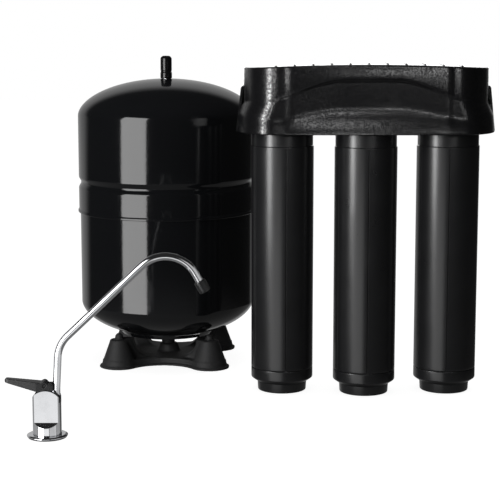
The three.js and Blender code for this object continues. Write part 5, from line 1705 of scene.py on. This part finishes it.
# Where the back plate's screw bosses start, and their radius
BOSS_FRONT = 0.0343
BOSS_RADIUS = 0.006
# Radii of the screws' holes and of their wider seats, and the seats' depth
SCREW_HOLE = 0.0023
SEAT_RADIUS = 0.0043
SEAT_DEPTH = 0.0032
# The back plate's screws: radius, radius and height of the head, length, and where the point starts
SCREW_RADIUS = 0.002
HEAD_RADIUS = 0.004
HEAD_HEIGHT = 0.0026
SCREW_LENGTH = 0.0386
POINT_START = 0.036
# Half the length and half the width of the cross in a screw's head
CROSS_REACH = 0.0022
CROSS_HALF = 0.0004


class FILTRATION_OT_back_plate(bpy.types.Operator):
    """Build the back plate and its screws"""

    bl_idname = "filtration.back_plate"
    bl_label = "Back Plate"

    def execute(self, context):
        sizes = context.scene.filtration_cover
        centre = centre_of("cartridge_2_shell")
        top = sizes.notch_top - PLAY
        rear = sizes.back + sizes.plate_depth
        front = sizes.notch_front + PLAY
        floor = rear - sizes.plate_wall

        def outline(inset):
            wide = sizes.plate_top_half - inset
            low = sizes.plate_bottom_half - inset
            corners = [
                (-low, sizes.bottom + inset, 0.0015),
                (low, sizes.bottom + inset, 0.0015),
                (wide, top - inset, sizes.plate_round),
                (-wide, top - inset, sizes.plate_round),
            ]
            return rounded(corners, steps=8)

        wing = sizes.plate_wing
        open_front = front - PAST
        tray = combined(
            prism(outline(0), front, rear, "Y"),
            "DIFFERENCE",
            prism(outline(sizes.plate_wall), open_front, floor, "Y"),
            block(-wing, wing, open_front, sizes.back, sizes.bottom - PAST, sizes.top),
        )
        lying = Matrix.Rotation(-pi / 2, 4, "X")
        span = rear - BOSS_FRONT

        def at_screws(radius, start, end, sides):
            """Discs that lie on the axes of the four screws."""
            return [
                placed(disc(radius, start, end, sides), lying, Vector((x, BOSS_FRONT, z)))
                for x in (-sizes.screw_x, sizes.screw_x)
                for z in (sizes.screw_low, sizes.screw_high)
            ]

        holes = at_screws(SCREW_HOLE, -PAST, span, 32)
        holes += at_screws(SEAT_RADIUS, span - SEAT_DEPTH, span + PAST, 40)
        holes += [
            prism(keyhole_outline(sizes, x), floor - PAST, rear + PAST, "Y")
            for x in (-sizes.keyhole_x, sizes.keyhole_x)
        ]
        bosses = at_screws(BOSS_RADIUS, 0, span - sizes.plate_wall / 2, 48)
        plate = combined(tray, "UNION", *bosses)
        plate = combined(plate, "DIFFERENCE", *holes)
        plate = placed(eased_edges(plate, 0.0005, 2, 35), spot=centre)
        dressed(
            "moulded_back_plate", plate, "base", ["manifold_back_plate"], "black_moulding", crease=0
        )
        head = rear - PLAY
        under = head - HEAD_HEIGHT
        profile = [
            (0, head - SCREW_LENGTH),
            (0.0014, head - SCREW_LENGTH, 0.0005),
            (SCREW_RADIUS, head - POINT_START),
            (SCREW_RADIUS, under, 0.0003),
            (HEAD_RADIUS, under, 0.0004),
            (HEAD_RADIUS, head - 0.0008, 0.0014),
            (0, head),
        ]
        floor, beyond = head - 0.0014, head + PAST / 2
        cross = [
            block(-x, x, -y, y, floor, beyond)
            for x, y in ((CROSS_REACH, CROSS_HALF), (CROSS_HALF, CROSS_REACH))
        ]
        screw = placed(combined(lathe(rounded(profile), 40), "DIFFERENCE", *cross), lying)
        values = {
            "Columns": 2,
            "Rows": 2,
            "Column Pitch": 2 * sizes.screw_x,
            "Row Pitch": sizes.screw_high - sizes.screw_low,
            "Turn": (pi / 2, 0.0, 0.0),
            "Place": (centre.x, centre.y, (sizes.screw_low + sizes.screw_high) / 2),
            "Material": finishes["stainless_steel"],
        }
        screws = repeat_tree().grown(screw, values)
        nodes = [f"back_plate_screw_{n}" for n in (1, 2, 3, 4)]
        dressed("plate_screws", screws, "base", nodes, "stainless_steel")
        return {"FINISHED"}


PORTS = ("inlet", "drain", "outlet", "tank")
# Radii of the ports: water way, collet's seat, outside, and neck in the manifold head
WATER_WAY = 0.0034
COLLET_SEAT = 0.0057
PORT_RADIUS = 0.0075
PORT_NECK = 0.005
# Heights above a port's mouth: the seat's floor, and the shoulder under the manifold head
SEAT_FLOOR = 0.0098
PORT_SHOULDER = 0.018
# The collets: radius of the sleeve, and radius and height of the flange
SLEEVE_RADIUS = 0.0054
FLANGE_RADIUS = 0.0068
FLANGE_HEIGHT = 0.002


class FILTRATION_OT_ports(bpy.types.Operator):
    """Build the four push-in ports under the head"""

    bl_idname = "filtration.ports"
    bl_label = "Tube Ports"

    def execute(self, context):
        slot = "white_plastic"
        low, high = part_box("inlet_port_fitting")
        nodes = [f"{port}_port_fitting" for port in PORTS]
        shoulder = low.z + PORT_SHOULDER
        seat = low.z + SEAT_FLOOR
        fitting = rounded([
            (WATER_WAY, high.z, 0.0003),
            (WATER_WAY, seat),
            (COLLET_SEAT, seat),
            (COLLET_SEAT, low.z, 0.0003),
            (PORT_RADIUS, low.z, 0.0008),
            (PORT_RADIUS, shoulder, 0.0006),
            (PORT_NECK, shoulder),
            (PORT_NECK, high.z, 0.0004),
        ])
        corners = [centre_of(node) for node in nodes]
        middle = sum(corners, NOWHERE) / len(corners)
        values = {
            "Columns": 2,
            "Rows": 2,
            "Column Pitch": 2 * abs(corners[0].x - middle.x),
            "Row Pitch": 2 * abs(corners[0].y - middle.y),
            "Turn": (0.0, 0.0, 0.0),
            "Place": tuple(middle),
            "Material": finishes[slot],
        }
        fittings = repeat_tree().grown(lathe(fitting, 56), values)
        dressed("push_in_ports", fittings, "base", nodes, slot)
        for port in PORTS:
            node = f"{port}_port_collet"
            low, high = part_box(node)
            flange = low.z + FLANGE_HEIGHT
            collet = rounded([
                (WATER_WAY, low.z, 0.0004),
                (FLANGE_RADIUS, low.z, 0.0006),
                (FLANGE_RADIUS, flange, 0.0005),
                (SLEEVE_RADIUS, flange),
                (SLEEVE_RADIUS, high.z, 0.0003),
                (WATER_WAY, high.z),
            ])
            collet = lathe(collet, 56, centre_of(node))
            dressed(f"{port}_release_collet", collet, f"{port}_collet", [node], slot)
        return {"FINISHED"}


# Metal parts whose ends show between black ones
DARKENED = ("faucet_pivot_pin", "faucet_valve_stem")


class FILTRATION_OT_inner_parts(bpy.types.Operator):
    """Give the CAD parts that stay their finishes"""

    bl_idname = "filtration.inner_parts"
    bl_label = "Inner Parts"

    def execute(self, context):
        slots = {part["node"]: part["material_slot"] for part in frame["record"]["subparts"]}
        for name, obj in frame["nodes"].items():
            finish = finishes["lever_black" if name in DARKENED else slots[name]]
            if not obj.material_slots:
                obj.data.materials.append(finish)
            for material_slot in obj.material_slots:
                material_slot.material = finish
        return {"FINISHED"}


# Stage

# The node in the middle of each unit that has its own lamps
UNITS = {"tank": "tank_stand", "faucet": "faucet_body", "filter": "cartridge_2_shell"}
# Where the big softbox and the lamps high in front of the filter unit stand, and what they face
SOFTBOX = (-1.14, -1.123, 0.3)
FAUCET_MIDDLE = (-0.24, -0.258, 0.1)
CARTRIDGES_TOP = (0.1, -0.05, 0.3)
COVER_FRONT = (0.127, -0.085, 0.37)
# Each lamp: its name, width and height, the setting of its power and the share of that which it
# takes, where it stands, what it faces, the unit that it lights, and its roll in degrees
LAMPS = [
    ("tank_softbox", (0.97, 1.5), "tank", 1, SOFTBOX, (-0.05, 0.1, 0.3), "tank", -5),
    ("faucet_softbox", (0.97, 1.5), "tank", 1, SOFTBOX, (-0.2, -0.2, 0.3), "faucet", 0),
    (
        "faucet_panel", (0.5, 0.25), "panel", 1, (-0.303, -0.738, -0.09), (-0.2385, -0.258, 0.035),
        "faucet", 0,
    ),
    ("faucet_fill", (0.7, 0.9), "fill", 1, (0.3, -0.7, 0.15), (-0.24, -0.258, 0.15), "faucet", 0),
    ("faucet_left", (0.8, 0.8), "side", 1, (-0.98, -0.15, 0.15), FAUCET_MIDDLE, "faucet", 0),
    ("faucet_right", (0.8, 0.8), "side", 1, (0.5, -0.15, 0.15), FAUCET_MIDDLE, "faucet", 0),
    ("filter_strip", (0.34, 0.9), "filter", 1, (-0.935, -0.845, 0.52), CARTRIDGES_TOP, "filter", 0),
    ("low_strip", (0.9, 0.6), "low", 1, (-0.45, -1.05, -0.15), (0.1, -0.05, 0.1), "filter", 0),
    ("roof_softbox", (0.8, 0.35), "roof", 1, (0.127, 0.8, 0.49), (0.127, -0.05, 0.4), "filter", 0),
    ("band_lamp", (0.4, 0.12), "band", 1, (0.37, -1.235, 0.56), COVER_FRONT, "filter", 0),
    ("skirt_lamp", (0.22, 0.14), "skirt", 1, (0.12, -1.235, 0.93), COVER_FRONT, "filter", 0),
    ("left_lamp", (0.18, 0.15), "edge", 1.4, (-0.64, -1.235, 0.5), COVER_FRONT, "filter", 0),
    ("right_lamp", (0.1, 0.15), "edge", 0.5, (0.63, -1.235, 0.5), COVER_FRONT, "filter", 0),
    ("overhead", (1.6, 1.2), "top", 1, (0.0, 0.1, 1.7), (0.0, 0.05, 0.2), None, 0),
]
FLOOR_REACH = 6
FLOOR_DEPTH = 0.02
FLOOR_GREY = 0.35
FAINTEST = 0.02
# How strongly the floor shines at the camera, a little under the white around it
FLOOR_GLOW = 0.93
SENSOR_WIDTH = 36


def unit_collections():
    """The pieces of each unit, in a collection for its lamps."""
    axes = [centre_of(node) for node in UNITS.values()]
    collections = [bpy.data.collections.new(f"{unit}_unit") for unit in UNITS]
    for obj in bpy.context.scene.objects:
        if obj.type != "MESH" or obj.name == "studio_floor":
            continue
        corners = [obj.matrix_world @ Vector(corner) for corner in obj.bound_box]
        middle = sum(corners, NOWHERE) / len(corners)
        reaches = [(middle.xy - axis.xy).length for axis in axes]
        collections[reaches.index(min(reaches))].objects.link(obj)
    return dict(zip(UNITS, collections))


def lamp(name, size, watts, spot, aim, lit, roll):
    """A soft rectangular light that faces a point. It may light only one collection's pieces."""
    light = bpy.data.lights.new(name, "AREA")
    light.shape = "RECTANGLE"
    light.size, light.size_y = size
    light.energy = watts
    obj = bpy.data.objects.new(name, light)
    obj.light_linking.receiver_collection = lit
    obj.location = spot
    facing = (Vector(aim) - Vector(spot)).to_track_quat("-Z", "Y")
    obj.rotation_euler = (facing @ Quaternion((0, 0, 1), roll)).to_euler()
    obj.visible_camera = False
    bpy.context.scene.collection.objects.link(obj)


class FILTRATION_OT_stage(bpy.types.Operator):
    """Set up the floor, the surroundings, the lamps and the camera"""

    bl_idname = "filtration.stage"
    bl_label = "Studio Stage"

    def execute(self, context):
        studio = context.scene.filtration_studio
        scene = context.scene
        scene.view_settings.view_transform = "Standard"
        floor = block(-FLOOR_REACH, FLOOR_REACH, -FLOOR_REACH, FLOOR_REACH, -FLOOR_DEPTH, 0)
        stage = bpy.data.objects.new("studio_floor", floor)
        scene.collection.objects.link(stage)
        floor.materials.append(self.floor_material())
        stage.visible_glossy = False
        self.surroundings(scene, studio.ambient)
        units = unit_collections()
        for name, size, strength, part, spot, aim, unit, roll in LAMPS:
            watts = getattr(studio, f"{strength}_strength") * part
            lamp(name, size, watts, spot, aim, units.get(unit), radians(roll))
        scene.objects["overhead"].visible_glossy = False
        camera = bpy.data.cameras.new("studio_camera")
        camera.sensor_fit = "HORIZONTAL"
        camera.sensor_width = SENSOR_WIDTH
        camera.lens = studio.focal_share * SENSOR_WIDTH
        eye = bpy.data.objects.new("studio_camera", camera)
        eye.location = studio.camera_place
        eye.rotation_euler = (pi / 2 - studio.pitch, 0, 0)
        scene.collection.objects.link(eye)
        scene.camera = eye
        return {"FINISHED"}

    @staticmethod
    def floor_material():
        """White to the camera, and a plain lit floor to all other light."""
        finish = Finish("studio_floor_finish")
        camera = finish.rays()[0]
        glow = {"Color": (1, 1, 1), "Strength": camera * FLOOR_GLOW}
        glow = finish.add("ShaderNodeEmission", inputs=glow)
        grey = (FLOOR_GREY, FLOOR_GREY, FLOOR_GREY)
        lit = finish.add("ShaderNodeBsdfDiffuse", inputs={"Color": grey})
        total = finish.add("ShaderNodeAddShader", inputs={0: glow, 1: lit})
        finish.add("ShaderNodeOutputMaterial", inputs={"Surface": total})
        return finish.material

    @staticmethod
    def surroundings(scene, ambient):
        """White to the camera. To shiny surfaces only what is behind and below the set is pale."""
        world = bpy.data.worlds.new("studio_world")
        world.use_nodes = True
        scene.world = world
        finish = Finish("studio_world", world.node_tree)
        camera, glossy = finish.rays()
        heading = finish.add("ShaderNodeTexCoord", output=0)
        node = finish.add("ShaderNodeSeparateXYZ", inputs={0: heading}).socket.node
        x, y, z = [Wire(finish, output) for output in node.outputs]

        def faded(value, start, end, level):
            ends = {"From Min": start, "From Max": end, "To Min": 0, "To Max": level}
            smooth = {"interpolation_type": "SMOOTHSTEP"}
            return finish.add("ShaderNodeMapRange", smooth, {"Value": value, **ends})

        # The field behind the set starts further back the higher or lower it is, and ends at the
        # right. The one below has the floor's dimmer level, and all else keeps a trace of light.
        depth = y - finish.add("ShaderNodeMath", {"operation": "ABSOLUTE"}, {0: z}) * 0.45
        behind = faded(depth, 0.4, 0.66, 0.45) * faded(x, 0.6, 0.25, 1)
        below = faded(z, -0.22, -0.3, 0.14)
        brighter = finish.add("ShaderNodeMath", {"operation": "MAXIMUM"}, {0: behind, 1: below})
        level = glossy * (brighter + FAINTEST) + (1 - glossy) * ambient
        sky = {"Color": (1, 1, 1), "Strength": camera + (1 - camera) * level}
        glow = finish.add("ShaderNodeBackground", inputs=sky)
        finish.add("ShaderNodeOutputWorld", inputs={"Surface": glow})


PIECES = [
    FILTRATION_OT_inner_parts,
    FILTRATION_OT_tank_shells,
    FILTRATION_OT_tank_fittings,
    FILTRATION_OT_stand,
    FILTRATION_OT_faucet_base,
    FILTRATION_OT_lever,
    FILTRATION_OT_spout,
    FILTRATION_OT_cartridges,
    FILTRATION_OT_cover,
    FILTRATION_OT_back_plate,
    FILTRATION_OT_ports,
    FILTRATION_OT_stage,
]
SETTINGS = {
    "filtration_tank": TankSizes,
    "filtration_stand": StandSizes,
    "filtration_faucet": FaucetSizes,
    "filtration_lever": LeverSizes,
    "filtration_cartridges": CartridgeSizes,
    "filtration_cover": CoverSizes,
    "filtration_colours": FinishColours,
    "filtration_studio": StudioSettings,
}


class FILTRATION_PT_pieces(bpy.types.Panel):
    """Lists the pieces and their settings"""

    bl_idname = "FILTRATION_PT_pieces"
    bl_label = "Water Filtration Set"
    bl_space_type = "VIEW_3D"
    bl_region_type = "UI"
    bl_category = "Filtration"

    def draw(self, context):
        for piece in PIECES:
            self.layout.operator(piece.bl_idname)
        for name, group in SETTINGS.items():
            box = self.layout.box()
            box.label(text=group.__doc__)
            for key in group.__annotations__:
                box.prop(getattr(context.scene, name), key)


def register():
    """Adds the settings, the operators and the panel to Blender."""
    for group in SETTINGS.values():
        bpy.utils.register_class(group)
    for name, group in SETTINGS.items():
        setattr(bpy.types.Scene, name, PointerProperty(type=group))
    for piece in PIECES:
        bpy.utils.register_class(piece)
    bpy.utils.register_class(FILTRATION_PT_pieces)


def unregister():
    """Takes them out again."""
    bpy.utils.unregister_class(FILTRATION_PT_pieces)
    for piece in reversed(PIECES):
        bpy.utils.unregister_class(piece)
    for name in SETTINGS:
        delattr(bpy.types.Scene, name)
    for group in reversed(list(SETTINGS.values())):
        bpy.utils.unregister_class(group)


def main():
    """Builds the whole set."""
    register()
    make_finishes()
    for piece in PIECES:
        family, operation = piece.bl_idname.split(".")
        getattr(getattr(bpy.ops, family), operation)()


if __name__ == "__main__":
    main()
